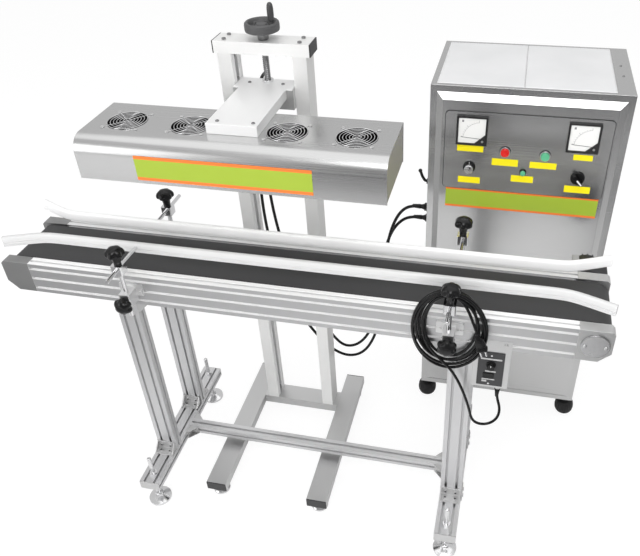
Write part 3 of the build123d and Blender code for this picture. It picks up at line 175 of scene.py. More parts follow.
# %% A finish and its nodes
def colour(red, green, blue):
    """A colour as the eye reads it, 0 to 255, as linear light: each channel over 255, then the
    curve that is straight below 0.04 and a power of 2.4 above."""
    channels = np.array([red, green, blue]) / 255
    linear = np.where(channels <= 0.04045, channels / 12.92, ((channels + 0.055) / 1.055) ** 2.4)
    return (*[float(x) for x in linear], 1.0)


class Finish:
    """A material with its shader, and the nodes that vary it."""

    def __init__(self, name, base, roughness, metallic=0.0, **constants):
        self.material = bpy.data.materials.new(name)
        self.material.use_nodes = True
        self.tree = self.material.node_tree
        self.shader = self.tree.nodes["Principled BSDF"]
        self.base = base
        fixed = {"Base Color": base, "Roughness": roughness, "Metallic": metallic, **constants}
        for socket, value in fixed.items():
            self.shader.inputs[socket].default_value = value

    def node(self, kind, settings=None, inputs=None, output=0):
        made = self.tree.nodes.new(kind)
        for name, value in (settings or {}).items():
            if name == "stops":
                ramp = made.color_ramp.elements
                while len(ramp) < len(value):
                    ramp.new(0.5)
                for stop, (place, shade) in zip(ramp, value):
                    stop.position = place
                    stop.color = shade
            else:
                setattr(made, name, value)
        for name, value in (inputs or {}).items():
            if isinstance(value, Wire):
                self.tree.links.new(value.socket, made.inputs[name])
            else:
                made.inputs[name].default_value = value
        return Wire(self.tree, made.outputs[output])

    def feed(self, socket, wire):
        self.tree.links.new(wire.socket, self.shader.inputs[socket])

    def place(self, scale):
        """Object coordinates, stretched by a scale for each axis."""
        found = self.node("ShaderNodeTexCoord", output="Object")
        return self.node("ShaderNodeMapping", None, {"Vector": found, "Scale": scale})

    def noise(self, scale, detail=3.0):
        """Fractal noise from 0 to 1, its grain stretched by the scale of each axis."""
        values = {"Vector": self.place(scale), "Scale": 1.0, "Detail": detail}
        return self.node("ShaderNodeTexNoise", None, values)

    def between(self, share, low, high):
        """A colour that goes from low to high as the share goes from 0 to 1."""
        ramp = {"stops": [(0.0, low), (1.0, high)]}
        return self.node("ShaderNodeValToRGB", ramp, {"Fac": share})

    def bump(self, height, strength, distance):
        values = {"Height": height, "Strength": strength, "Distance": distance}
        self.feed("Normal", self.node("ShaderNodeBump", None, values))


def shade(base, factor):
    """The same colour, lighter or darker by a factor."""
    return (*[min(1.0, channel * factor) for channel in base[:3]], 1.0)


# %% [markdown]
# ## The metals
# Stainless sheet is brushed: fine scratches along one direction, one or two to the millimetre
# across it, and broad soft bands where the wheel pressed harder. Noise stretched five
# hundredfold along the grain gives the scratches, and a second, wide noise gives the bands.
# Anodised sections are drawn through a die, so their lines run along the bar instead, and cast
# pieces have round grain with no direction.

# %% Brushed, drawn and cast metal
GRAIN = {
    "x": ((3, 1500, 1500), (0.7, 6, 6)),
    "y": ((1500, 3, 1500), (6, 0.7, 6)),
    "z": ((1500, 1500, 3), (6, 6, 0.7)),
}


def brushed(name, base, along, roughness=0.3, contrast=0.05, bump=0.05, metallic=1.0):
    """Base colour times one, plus or minus the contrast by scratches and bands along one axis."""
    finish = Finish(name, base, roughness, metallic)
    fine, wide = GRAIN[along]
    scratches = finish.noise(fine, 2.0)
    bands = finish.noise(wide, 2.0)
    share = (scratches * 0.45 + bands * 0.55).clipped()
    tones = shade(base, 1 - contrast), shade(base, 1 + contrast)
    finish.feed("Base Color", finish.between(share, *tones))
    finish.feed("Roughness", (scratches - 0.5) * 0.06 + (bands - 0.5) * 0.06 + roughness)
    finish.bump(scratches, bump, 0.0002)
    return finish.material


def cast(name, base, roughness, size=420):
    """Round grain of two sizes: a fine one for the bump and a wide one for stains."""
    finish = Finish(name, base, roughness, 1.0)
    grain = finish.noise((size, size, size), 4.0)
    stain = finish.noise((14, 14, 14), 3.0)
    finish.feed("Base Color", finish.between(stain, shade(base, 0.86), shade(base, 1.1)))
    finish.feed("Roughness", (stain - 0.5) * 0.25 + (grain - 0.5) * 0.12 + roughness)
    finish.bump(grain, 0.25, 0.0004)
    return finish.material


# tone, direction of the grain, roughness, contrast, depth of the scratches, share of metal
BRUSHED = {
    "rail_face": ((208, 208, 209), "x", 0.4, 0.04, 0.05),
    "section_x": ((226, 226, 227), "x", 0.46, 0.04, 0.05),
    "section_y": ((222, 222, 223), "y", 0.46, 0.04, 0.05),
    "section_z": ((224, 224, 225), "z", 0.46, 0.04, 0.05),
    "stand_x": ((243, 243, 242), "x", 0.42, 0.02, 0.03, 0.35),
    "stand_y": ((208, 208, 208), "y", 0.4, 0.05, 0.05),
    "stand_z": ((240, 240, 239), "z", 0.42, 0.03, 0.03, 0.5),
    "stand_low": ((214, 214, 214), "x", 0.42, 0.03, 0.03),
    "arm_sheet": ((242, 242, 242), "y", 0.45, 0.02, 0.03, 0.4),
    "head_sheet": ((208, 208, 208), "x", 0.26, 0.02, 0.02),
    "cabinet_sheet": ((208, 208, 208), "x", 0.26, 0.02, 0.02),
    "end_plate": ((206, 206, 206), "y", 0.5, 0.03, 0.03),
    "box_sheet": ((212, 212, 212), "z", 0.36, 0.04, 0.04),
}
# tone, roughness, grains to the metre
CAST = {
    "cast_alloy": ((220, 220, 220), 0.5),
    "cast_dull": ((168, 168, 168), 0.5),
    "clamp_alloy": ((240, 240, 240), 0.4),
    "turned_steel": ((190, 190, 191), 0.26, 900),
    "screw_steel": ((150, 150, 151), 0.34, 900),
    "guard_steel": ((236, 236, 237), 0.14, 1200),
    "zinc": ((204, 204, 202), 0.32, 300),
    "chrome": ((236, 236, 237), 0.1, 1200),
}
METALS = {name: brushed(name, colour(*tone), *rest) for name, (tone, *rest) in BRUSHED.items()}
METALS |= {name: cast(name, colour(*tone), *rest) for name, (tone, *rest) in CAST.items()}
print("metals", len(METALS))

# %% [markdown]
# ## Plastics, rubber and paint
# Moulded plastic shows a spark-eroded texture and faint wear, rubber is duller with dust in its
# pores, and printed labels are flat and slightly glossy. One function with a grain size and a
# gloss covers them, because what differs on the real pieces is only how coarse and how shiny.


# %% Moulded pieces
def moulded(name, base, roughness, grain=900, depth=0.12, dust=0.12, specular=0.5):
    """Base colour lifted by dust where a wide noise is high, with a fine grain in the bump."""
    finish = Finish(name, base, roughness, 0.0, **{"Specular IOR Level": specular})
    fine = finish.noise((grain, grain, grain), 3.0)
    wide = finish.noise((22, 22, 22), 4.0)
    lifted = tuple(channel + (0.35 - channel) * dust * 0.35 for channel in base[:3]) + (1.0,)
    finish.feed("Base Color", finish.between(wide, shade(base, 1 - dust), lifted))
    finish.feed("Roughness", ((wide - 0.5) * 0.2 + (fine - 0.5) * 0.1 + roughness).clipped())
    finish.bump(fine, depth, 0.0002)
    return finish.material


DEEP = 0.32  # a black that mirrors less, so that it stays deep
# tone, roughness, grains to the metre, depth of the grain, dust, mirroring
MOULDED = {
    "knob_black": ((12, 12, 13), 0.15, 700, 0.05, 0.05, DEEP),
    "grip_black": ((62, 62, 63), 0.36, 900, 0.2),
    "wheel_black": ((80, 80, 81), 0.46, 500, 0.3),
    "cap_black": ((52, 52, 53), 0.5, 800, 0.25),
    "motor_black": ((44, 44, 46), 0.42, 500, 0.3),
    "face_black": ((46, 46, 48), 0.42, 1200, 0.1),
    # fan_black: the fans' own black plastic, pushed to near pure black as painted shade inside the
    # head under the guards
    "fan_black": ((3, 3, 3), 0.8, 700, 0.2, 0.0, 0.12),
    "rubber_black": ((20, 20, 21), 0.5, 350, 0.4, 0.1, DEEP),
    "cable_black": ((10, 10, 11), 0.17, 500, 0.04, 0.04, DEEP),
    "meter_black": ((32, 32, 33), 0.3, 1000, 0.1),
    "dial_white": ((240, 240, 238), 0.5, 1500, 0.03, 0.02),
    "mark_grey": ((140, 140, 142), 0.5, 1500, 0.03, 0.02),
    "field_grey": ((176, 176, 176), 0.45, 1500, 0.03, 0.02),
    "mark_white": ((226, 226, 226), 0.45, 1500, 0.03, 0.02),
    "label_yellow": ((255, 238, 2), 0.42, 900, 0.08, 0.04),
    "banner_lime": ((160, 184, 50), 0.38, 900, 0.06, 0.05),
    "banner_orange": ((240, 122, 44), 0.38, 900, 0.06, 0.05),
    "lamp_green": ((92, 184, 140), 0.2, 1500, 0.05, 0.04),
    "button_red": ((222, 32, 26), 0.26, 1200, 0.06, 0.04),
    "button_green": ((96, 188, 142), 0.26, 1200, 0.06, 0.04),
    "board_white": ((214, 212, 204), 0.55, 600, 0.2),
    # the two guides are one white plastic in two tones of painted light: the front one darker
    # where the front lamps light it more, the rear one lighter against the shade of the head
    "guide_front": ((216, 216, 216), 0.36, 900, 0.06, 0.02),
    "guide_rear": ((251, 251, 251), 0.36, 900, 0.06, 0.01),
    # slot_painted_light: a pale matt finish for the insides of slots, painted light in place of
    # their shade
    "slot_painted_light": ((248, 248, 248), 0.6, 900, 0.06, 0.02),
}
PLASTICS = {name: moulded(name, colour(*tone), *rest) for name, (tone, *rest) in MOULDED.items()}
print("plastics", len(PLASTICS))

# %% [markdown]
# ## The belt
# A conveyor belt of this kind is woven polyester under a thin matt cover, so its face shows a
# faint square weave about a millimetre apart. Two waves at right angles, one along the belt and
# one across it, give the weave, and a slow noise gives the greyer path that the goods rub.


# %% Belt cover
def belt_cover():
    """Dark grey, its roughness and bump from two crossed sine waves."""
    base = colour(62, 62, 63)
    finish = Finish("belt_cover", base, 0.62)
    place = {"Vector": finish.place((1, 1, 1)), "Scale": 160.0}
    along, across = (
        finish.node("ShaderNodeTexWave", {"wave_type": "BANDS", "bands_direction": axis}, place)
        for axis in "XY"
    )
    rubbed = finish.noise((3, 12, 12), 4.0)
    grit = finish.noise((900, 900, 900), 2.0)
    weave = along * across * 0.6 + grit * 0.4
    share = (rubbed * 0.8 + weave * 0.3).clipped()
    finish.feed("Base Color", finish.between(share, shade(base, 0.86), shade(base, 1.16)))
    finish.feed("Roughness", (rubbed - 0.5) * 0.24 + 0.6)
    finish.bump(weave, 0.4, 0.0004)
    return finish.material


BELT = belt_cover()

# %% [markdown]
# ## Surfaces on a grid
# Most of the new pieces are one of two things: a profile turned round an axis, or a section
# carried along a path. Both are a grid of points, rows by columns, and the faces between them
# follow from the grid alone. So one function turns any such array into a mesh, closes it the
# long way or the round way, and puts a lid on its ends.


# %% From a grid of points to a mesh
def link_mesh(name, points, faces, material, body=None):
    """A piece from points in metres and faces, with its material, body and slot."""
    mesh = bpy.data.meshes.new(name)
    mesh.from_pydata(points, [], faces)
    mesh.update()
    piece = bpy.data.objects.new(name, mesh)
    scene.collection.objects.link(piece)
    mesh.materials.append(material)
    if body:
        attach(piece, body)
    return piece


def smooth(piece, angle=35):
    """Smooth shading with edges kept sharp above an angle."""
    piece.data.shade_smooth()
    piece.data.set_sharp_from_angle(angle=math.radians(angle))
    return piece


def outward(piece):
    """Doubles merged, then normals worked out again so that faces point out."""
    work = bmesh.new()
    work.from_mesh(piece.data)
    bmesh.ops.remove_doubles(work, verts=work.verts, dist=1e-6)
    bmesh.ops.recalc_face_normals(work, faces=work.faces)
    work.to_mesh(piece.data)
    work.free()
    return piece


def grid_faces(rows, columns, ring=True, start=0):
    """Four-sided faces between neighbours of a grid whose rows close into rings."""
    steps = columns if ring else columns - 1
    r, c = np.meshgrid(np.arange(rows - 1) * columns, np.arange(steps), indexing="ij")
    after = (c + 1) % columns
    quads = np.stack([r + c, r + after, r + columns + after, r + columns + c], -1)
    return (quads.reshape(-1, 4) + start).tolist()


def many(name, grids, material, body, angle=35, lids=True):
    """Several closed skins in one piece, each over its own grid of rings in millimetres, rows
    by columns by three."""
    points, faces, start = [], [], 0
    for grid in grids:
        rows, columns, _ = grid.shape
        points.append(metres(grid.reshape(-1, 3)))
        faces += grid_faces(rows, columns, start=start)
        if lids:
            faces.append([start + c for c in range(columns)][::-1])
            faces.append([start + (rows - 1) * columns + c for c in range(columns)])
        start += rows * columns
    piece = link_mesh(name, np.concatenate(points).tolist(), faces, material, body)
    return smooth(outward(piece), angle)


def skin(name, grid, material, body, angle=35):
    """One closed skin in a piece of its own."""
    return many(name, [grid], material, body, angle)


AXES = {
    "x": np.array([[0, 1, 0], [0, 0, 1], [1, 0, 0]], float),
    "y": np.array([[1, 0, 0], [0, 0, 1], [0, 1, 0]], float),
    "z": np.array([[1, 0, 0], [0, 1, 0], [0, 0, 1]], float),
}


def angles(count):
    """Equal steps round a circle, without the last, which would be the first again."""
    return np.linspace(0, 2 * math.pi, count, endpoint=False)


def swept(radius, rise, centre, axis, sides):
    """Grid of a radius and a rise for each row, or for each row and angle: the radius times the
    cosine and sine of the angle across the axis, and the rise along it."""
    angle = angles(sides)[:, None]
    first, second, third = AXES[axis]
    circle = np.cos(angle) * first + np.sin(angle) * second
    return np.asarray(centre, float) + radius[..., None] * circle + rise[..., None] * third


def turned(profile, centre, axis="z", sides=48):
    """Grid of a profile of (radius, height) rows turned round an axis through the centre."""
    profile = np.asarray(profile, float)
    return swept(profile[:, :1], profile[:, 1:], centre, axis, sides)


def refined(profile, rows):
    """The radii and the heights of a profile, each a column, filled in by straight steps."""
    profile = np.asarray(profile, float)
    known = np.arange(len(profile))
    steps = np.linspace(0, known[-1], rows)
    return [np.interp(steps, known, column)[:, None] for column in profile.T]


def spun(points, turn):
    """Flat points turned about the origin: each is its first number times the cosine and sine
    of the turn, plus its second times less the sine and the cosine."""
    cosine, sine = math.cos(turn), math.sin(turn)
    return np.asarray(points, float) @ np.array([[cosine, sine], [-sine, cosine]])


def lofted(sections, places, frame_x, frame_y):
    """Grid of flat sections, each an array of (across, up) points, set at places along a path
    with one direction for across and one for up at each place."""
    sections = np.asarray(sections, float)
    across = sections[..., 0][..., None] * frame_x[:, None, :]
    up = sections[..., 1][..., None] * frame_y[:, None, :]
    return places[:, None, :] + across + up


def rounded_outline(width, height, radius, steps=6):
    """Outline of a rounded rectangle: a quarter circle of points at each corner."""
    angle = np.linspace(0, math.pi / 2, steps)
    corner = np.stack([np.cos(angle), np.sin(angle)], -1) * radius
    points = []
    for sign_x, sign_y, swap in ((1, 1, False), (-1, 1, True), (-1, -1, False), (1, -1, True)):
        arc = corner * (sign_x, sign_y)
        arc = arc[::-1] if swap else arc
        points.append(arc + (sign_x * (width / 2 - radius), sign_y * (height / 2 - radius)))
    return np.concatenate(points)


def plate(outline, low, high, axis="y"):
    """Grid of an outline carried from low to high along an axis, with its edge eased."""
    ease = min(0.4, abs(high - low) * 0.3)
    outline = np.asarray(outline, float)
    middle = outline.mean(0)
    size = np.abs(outline - middle).max()
    small = middle + (outline - middle) * (1 - ease / size)
    first, second, third = AXES[axis]
    rows = []
    stations = (small, low), (outline, low + ease), (outline, high - ease), (small, high)
    for section, height in stations:
        rows.append(section[:, :1] * first + section[:, 1:] * second + height * third)
    return np.array(rows)


def within(values, middle, half):
    """True where the values are nearer to the middle than a half width."""
    return np.abs(values - middle) < half


# %% [markdown]
# ## Easing the sharp edges of the solids
# A solid from a drawing has knife edges, and a knife edge catches no light. Real folded sheet
# and sawn sections have a small round on every edge. A copy of the solid is merged, its flat
# triangles joined into whole faces, and a Bevel modifier rounds what is left. The copy then
# stands for the solid, which keeps its place for collision.


# %% Eased copies
def eased(node, material, width, segments=2, angle=30, extra=(), reshape=None):
    """A merged copy of a node with its edges rounded by a width in millimetres. Each extra is
    (material, test): faces whose middle, in millimetres, passes the test get that material.
    A reshape takes all corners in millimetres and gives them back moved."""
    source = nodes[node]
    body = source["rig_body"]
    mesh = source.data.copy()
    mesh.name = node + "_eased"
    mesh.materials.clear()
    piece = bpy.data.objects.new(node + "_eased", mesh)
    scene.collection.objects.link(piece)
    work = bmesh.new()
    work.from_mesh(mesh)
    bmesh.ops.remove_doubles(work, verts=work.verts, dist=2e-6)
    flat = math.radians(0.6)
    bmesh.ops.dissolve_limit(work, angle_limit=flat, verts=work.verts, edges=work.edges)
    work.to_mesh(mesh)
    work.free()
    if reshape:
        corners = np.empty(len(mesh.vertices) * 3)
        mesh.vertices.foreach_get("co", corners)
        corners = reshape(corners.reshape(-1, 3) * 1000 - ORIGIN_SHIFT)
        mesh.vertices.foreach_set("co", metres(corners).ravel())
        mesh.update()
    mesh.materials.append(material)
    indices = np.zeros(len(mesh.polygons), np.int32)
    middles = np.array([face.center for face in mesh.polygons]) * 1000 - ORIGIN_SHIFT
    for number, (other, test) in enumerate(extra, start=1):
        mesh.materials.append(other)
        indices[test(middles)] = number
    mesh.polygons.foreach_set("material_index", indices)
    smooth(piece, angle)
    if width:
        bevel = piece.modifiers.new("edges", "BEVEL")
        bevel.width = width / 1000
        bevel.segments = segments
        bevel.limit_method = "ANGLE"
        bevel.angle_limit = math.radians(angle)
        bevel.harden_normals = True
    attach(piece, body)
    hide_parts(node)
    return piece


# %% [markdown]
# ## The cords come first
# A cord is a fixed length that hangs. Its line is one NURBS spline of order 3, with points where
# the cord would be held or would turn; the spline rounds them, as a stiff rubber sheath does. The
# tube is then a ring of points carried along that line. Each ring needs a direction for its
# first point, and turning that direction with the line from ring to ring keeps the tube untwisted.


# %% A line and its tube
def cord_line(name, points):
    """The points in metres that a NURBS spline of order 3 makes from the millimetre points."""
    curve = bpy.data.curves.new(name + "_line", "CURVE")
    curve.dimensions = "3D"
    curve.resolution_u = 8
    spline = curve.splines.new("NURBS")
    spline.points.add(len(points) - 1)
    weighted = np.ones((len(points), 4))
    weighted[:, :3] = metres(points)
    spline.points.foreach_set("co", weighted.ravel())
    spline.order_u = 3
    spline.use_endpoint_u = True
    carrier = bpy.data.objects.new(name + "_line", curve)
    scene.collection.objects.link(carrier)
    bpy.context.view_layer.update()
    graph = bpy.context.evaluated_depsgraph_get()
    mesh = bpy.data.meshes.new_from_object(carrier.evaluated_get(graph))
    line = np.array([vertex.co for vertex in mesh.vertices])
    bpy.data.objects.remove(carrier)
    bpy.data.meshes.remove(mesh)
    step = np.linalg.norm(np.diff(line, axis=0), axis=1)
    return line[np.concatenate([[True], step > 1e-7])]


def length_of(line):
    return float(np.linalg.norm(np.diff(line, axis=0), axis=1).sum())


def tube_along(name, line, diameter, sides=16):
    """Rings along a line: centre plus radius times the cosine and sine of the angle, in the two
    directions across the line, the first one turned with the line from ring to ring."""
    tangent = np.gradient(line, axis=0)
    tangent /= np.linalg.norm(tangent, axis=1)[:, None]
    across = np.zeros_like(tangent)
    start = np.cross(tangent[0], (0.31, 0.52, 0.79))
    across[0] = start / np.linalg.norm(start)
    for ring in range(1, len(line)):
        carried = across[ring - 1] - tangent[ring] * (across[ring - 1] @ tangent[ring])
        across[ring] = carried / np.linalg.norm(carried)
    up = np.cross(tangent, across)
    angle = angles(sides)[None, :, None]
    circle = np.cos(angle) * across[:, None] + np.sin(angle) * up[:, None]
    rings = line[:, None, :] + diameter / 2000 * circle
    return skin(name, rings * 1000 - ORIGIN_SHIFT, PLASTICS["cable_black"], None)


# %% [markdown]
# ## The mains lead
# The speed controller's lead leaves a gland under its box, hangs in a bow, and is wound into
# five and a half loose turns that hang over the front right cross block, with the plug tucked
# into their right side. No two turns are alike, and turns given one by one would jump from each
# to the next. So the half width, the top and the bottom are smooth lists over the turns, and
# the angle runs on through all of them. Two layers, front and back, keep turns out of each other.

# %% Wind the lead
LEAD = 7.0
LEAD_EXIT = (528, -95, 542)
TAIL = [
    LEAD_EXIT, (528, -95, 514), (540, -103, 482), (537, -112, 456), (519, -120, 439),
    (493, -127, 439), (473, -131, 456), (464, -132, 498), (453, -132, 534), (441, -132, 567),
    (428, -132, 596), (413, -132, 622), (394, -132, 644),
]
PLUG_NECK = np.array([466.5, -138.5, 752.0])
PLUG_LEAN = np.array([0.304, 0.0, -0.953])
PLUG_SIDE = np.array([0.953, 0.0, 0.304])
TO_REAR = np.array([0.0, 1.0, 0.0])


def coil_turns():
    """Ovals run through 5.55 turns: x is the middle less the half width times the sine of the
    angle, z the middle height less the half height times the cosine, with all three smooth
    lists over the turns, and y one of two layers, with both ends led out in front."""
    turns = np.arange(0.11, 5.66, 1 / 16)
    angle = 2 * math.pi * turns
    half = np.interp(turns, [0, 1, 2, 3, 4, 5, 5.5, 5.66], [57, 75, 85, 91, 76, 60, 55, 58])
    middle = np.interp(turns, [0, 1, 2, 3, 4, 5, 6], [402, 401, 403, 401, 403, 402, 402])
    high = np.interp(turns, [0.5, 1.5, 2.5, 3.5, 4.5, 5.5], [840, 847, 853, 853, 846, 839.5])
    low = np.interp(turns, [0, 1, 2, 3, 4, 5], [654, 646, 631, 612, 638, 653])
    change = [0, 0.11, 0.3, 2.6, 2.9, 5.45, 5.66]
    layer = np.interp(turns, change, [-131, -131, -125.3, -125.3, -117.7, -117.7, -130])
    x = middle - half * np.sin(angle)
    z = (high + low) / 2 - (high - low) / 2 * np.cos(angle)
    return np.stack([x, layer, z], -1)


plug_end = [PLUG_NECK - PLUG_LEAN * 26, PLUG_NECK - PLUG_LEAN * 12, PLUG_NECK]
lead_points = np.concatenate([TAIL, coil_turns(), plug_end])
lead_line = cord_line("mains_lead", lead_points)
mains_lead = tube_along("mains_lead", lead_line, LEAD, 14)
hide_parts("power_cord", "power_coil")
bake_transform(mains_lead)

# %% [markdown]
# ## The plug
# A moulded plug is a soft body that swells to a flange where the fingers pull, with a ribbed
# neck that bends with the lead. It is one section, a rounded square, carried along a straight
# axis with a width for each station. The two pins are turned.


# %% Mould the plug
def plug_body():
    """Rounded square whose half width and half depth are read from lists along the axis."""
    along = np.array([-2, 0, 3, 4, 7, 8, 11, 12, 15, 19, 26, 36, 45, 46, 50, 52])
    wide = np.array([4.2, 5.2, 5.4, 4.4, 5.6, 4.6, 6, 5, 7, 9.5, 11.4, 12, 12.6, 13.9, 13.9, 13])
    deep = np.array([4.2, 5.2, 5.4, 4.4, 5.6, 4.6, 6, 5, 6.4, 7.2, 7.6, 7.8, 8.2, 9, 9, 8.2])
    angle = angles(32)
    power = np.interp(along, [0, 15, 24], [1.0, 0.8, 0.55])[:, None]
    cosine = np.sign(np.cos(angle)) * np.abs(np.cos(angle)) ** power
    sine = np.sign(np.sin(angle)) * np.abs(np.sin(angle)) ** power
    sections = np.stack([wide[:, None] * cosine, deep[:, None] * sine], -1)
    places = PLUG_NECK + along[:, None] * PLUG_LEAN
    frames = [np.tile(direction, (len(along), 1)) for direction in (PLUG_SIDE, TO_REAR)]
    return lofted(sections, places, *frames)


def pin(offset):
    """A turned pin with its three axes set along the plug's own."""
    profile = [[0.02, 0], [2.4, 0], [2.4, 17], [1.9, 19.4], [0.02, 20]]
    grid = turned(profile, (0, 0, 0), "z", 20)
    base = PLUG_NECK + PLUG_LEAN * 51.5 + PLUG_SIDE * offset
    return base + grid @ np.array([PLUG_SIDE, TO_REAR, PLUG_LEAN])


rubber = PLASTICS["cable_black"]
plug = skin("mains_plug", plug_body(), rubber, "front_posts", angle=50)
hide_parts("power_plug")
pins = many("plug_pins", [pin(-6), pin(6)], METALS["chrome"], "front_posts")

# %% [markdown]
# ## The two head cables
# Two heavier cables feed the coil in the head. They leave the carriage backwards, fall behind the
# left column, swing low behind the conveyor and climb to the cabinet's side. They must give as
# the head goes up and down; here each is one fixed tube along its line.

# %% Hang the head cables
HEAD_CABLE = 9.0
LEFT_CABLE = [
    (-123, 250, 1145), (-126, 284, 1145), (-137, 312, 1150), (-155, 333, 1147), (-175, 342, 1113),
    (-186, 339, 1066), (-191, 328, 984), (-197, 316, 870), (-197, 308, 755), (-190, 307, 640),
    (-175, 307, 530), (-150, 309, 430), (-114, 313, 342), (-72, 317, 262), (-23, 320, 200),
    (34, 321, 173), (88, 323, 196), (126, 323, 268), (146, 326, 360), (154, 332, 460),
    (159, 344, 555), (168, 357, 640), (184, 367, 699), (206, 372, 739), (234, 372, 758),
    (262, 372, 758),
]
RIGHT_CABLE = [
    (-87, 250, 1145), (-87, 284, 1140), (-93, 314, 1132), (-106, 331, 1127), (-130, 347, 1104),
    (-154, 354, 1070), (-175, 350, 1006), (-184, 342, 905), (-182, 336, 800), (-173, 333, 695),
    (-156, 331, 590), (-129, 329, 490), (-91, 326, 400), (-51, 323, 323), (-13, 321, 257),
    (24, 320, 219), (68, 321, 230), (105, 327, 275), (129, 336, 350), (142, 348, 445),
    (148, 362, 535), (158, 378, 608), (177, 390, 659), (203, 396, 691), (233, 396, 706),
    (262, 396, 706),
]

for name, route in (("head_cable_left", LEFT_CABLE), ("head_cable_right", RIGHT_CABLE)):
    line = cord_line(name, route[::-1])
    cable = tube_along(name + "_cable", line, HEAD_CABLE)
    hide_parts(name)
    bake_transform(cable)
    print(name, round(length_of(line), 3), "m")

# %% [markdown]
# ## The frame of slotted sections
# The rails, uprights and bars are extrusions whose long lines run with the bar, so each gets the
# drawn finish of its own direction. Their edges are eased by a few tenths only: an extrusion is
# crisp. Brackets and end blocks are cast, with round grain.

# %% Dress the conveyor's frame
RAIL_Y, RAIL_Z = 95, 732


def in_rail_slot(at):
    """Faces in the long slots of both rails, which get a pale matt finish: painted light in place
    of the shade in them.
    """
    across = within(np.abs(at[:, 1]), RAIL_Y, 14.3)
    return across & within(at[:, 2], RAIL_Z, 44.3) & within(at[:, 0], 0, 690)


# the insides of the rail slots get painted light instead of their shade
painted_light_in_slots = [(PLASTICS["slot_painted_light"], in_rail_slot)]
eased("side_rails", METALS["rail_face"], 0.8, extra=painted_light_in_slots)
eased("leg_uprights", METALS["section_z"], 0.5)
bars = [(METALS["section_x"], lambda at: within(at[:, 0], 0, 403))]
eased("frame_bars", METALS["section_y"], 0.5, extra=bars)
eased("frame_brackets", METALS["cast_alloy"], 0.6)
bar_ends = [(METALS["cast_alloy"], lambda at: np.abs(at[:, 0]) > 380)]
eased("end_caps", PLASTICS["cap_black"], 0.8, extra=bar_ends)
eased("slider_bed", METALS["cabinet_sheet"], 0.3)
eased("roller_bearings", METALS["chrome"], 0.4)


def slimmer(corners):
    """Corners behind the gearbox come nearer to the motor's axis, to make room for its fins."""
    moved = corners.copy()
    behind = corners[:, 1] > 150.3
    axis = np.array([MOTOR_X, MOTOR_Z])
    moved[behind, 0::2] = axis + (corners[behind, 0::2] - axis) * 0.88
    return moved


def fin(degrees):
    """A thin upright plate on the motor's barrel, at an angle round its axis."""
    section = [[34.0, -1.3], [41.8, -1.3], [41.8, 1.3], [34.0, 1.3]]
    return plate(spun(section, math.radians(degrees)) + (MOTOR_X, MOTOR_Z), 154, 193)


MOTOR_X, MOTOR_Z = 717.0, RAIL_Z
eased("drive_motor", PLASTICS["motor_black"], 1.0, reshape=slimmer)
fins = [fin(degrees) for degrees in range(0, 360, 18)]
many("motor_fins", fins, PLASTICS["motor_black"], "base")
terminal = plate(rounded_outline(17, 12, 1.5, 4) + (MOTOR_X - 29, MOTOR_Z + 33), 156, 186)
skin("motor_terminal", terminal, PLASTICS["field_grey"], "base")
eased("drive_roller", METALS["turned_steel"], 0.4)
eased("idler_roller", METALS["turned_steel"], 0.4)
eased("conveyor_belt", BELT, 0.5)
cover = [
    (METALS["cast_dull"], lambda at: at[:, 0] < -690),
    (METALS["turned_steel"], lambda at: at[:, 1] < -110.5),
]
eased("end_blocks", METALS["cast_alloy"], 1.2, extra=cover)
ROLLER_X = 729
bung = [[0.02, 104], [9.8, 104], [9.8, 109.8], [12, 109.9], [12.2, 110.1], [0.02, 110.1]]
plugs = [turned(np.array(bung) * (1, sign), (-ROLLER_X, 0, RAIL_Z), "y") for sign in (-1, 1)]
many("shaft_plugs", plugs, METALS["cast_dull"], "base")

# %% [markdown]
# ## Screws
# A round screw head is a low dome with a cross or a socket in it. The dome is turned from a short
# profile whose middle dips into a pit, which reads as a socket at this size. One function sets
# many of them in one piece.


# %% Set the screws
def screw_head(centre, axis, direction, radius=4.0, height=2.2):
    """Dome of a profile turned about the axis, its middle sunk as a socket."""
    widths = np.array([1, 0.97, 0.8, 0.55, 0.46, 0.4, 0.02 / radius]) * radius
    heights = np.array([0, 0.45, 0.85, 1, 1, 0.45, 0.4]) * height * direction
    profile = np.stack([widths, heights], -1)
    return turned(profile, centre, axis, 20)


cover_screws = [screw_head((ROLLER_X + dx, -114, RAIL_Z), "y", -1, 4.5) for dx in (-23, 23)]
many("cover_screws", cover_screws, METALS["chrome"], "base")
arm_screws = [
    screw_head((x, y, 1168), "z", 1, 4.5, 2.6)
    for x, y in ((-142, -14), (-58, -14), (-148, 212), (-62, 212))
]
many("arm_screws", arm_screws, METALS["screw_steel"], "head")
top_screws = [screw_head((x, y, 1135), "z", 1, 3.2, 1.6) for x, y in ((757, 547), (759, 474))]
many("cabinet_top_screws", top_screws, METALS["screw_steel"], "base")

# %% [markdown]
# ## Foot brackets
# Cast brackets hold each upright to its base bar: an upper and a lower flange joined by two
# slanted webs. The drawing has those on the outer sides. The ones in front of the rear uprights
# are made here from flat plates. All their screws get a shallow dark disc on the head: painted
# shade for the socket's recess.


# %% Brackets and their sockets
def socket(x, y, z, axis, direction=1):
    """A disc 0.8 mm high, with a rim a little lower, turned about the axis. Set dark on a screw
    head, it is painted shade for the socket's recess.
    """
    profile = np.array([[0.02, 0], [2.9, 0], [2.9, 0.7], [0.02, 0.8]]) * (1, direction)
    return turned(profile, (x, y, z), axis, 16)


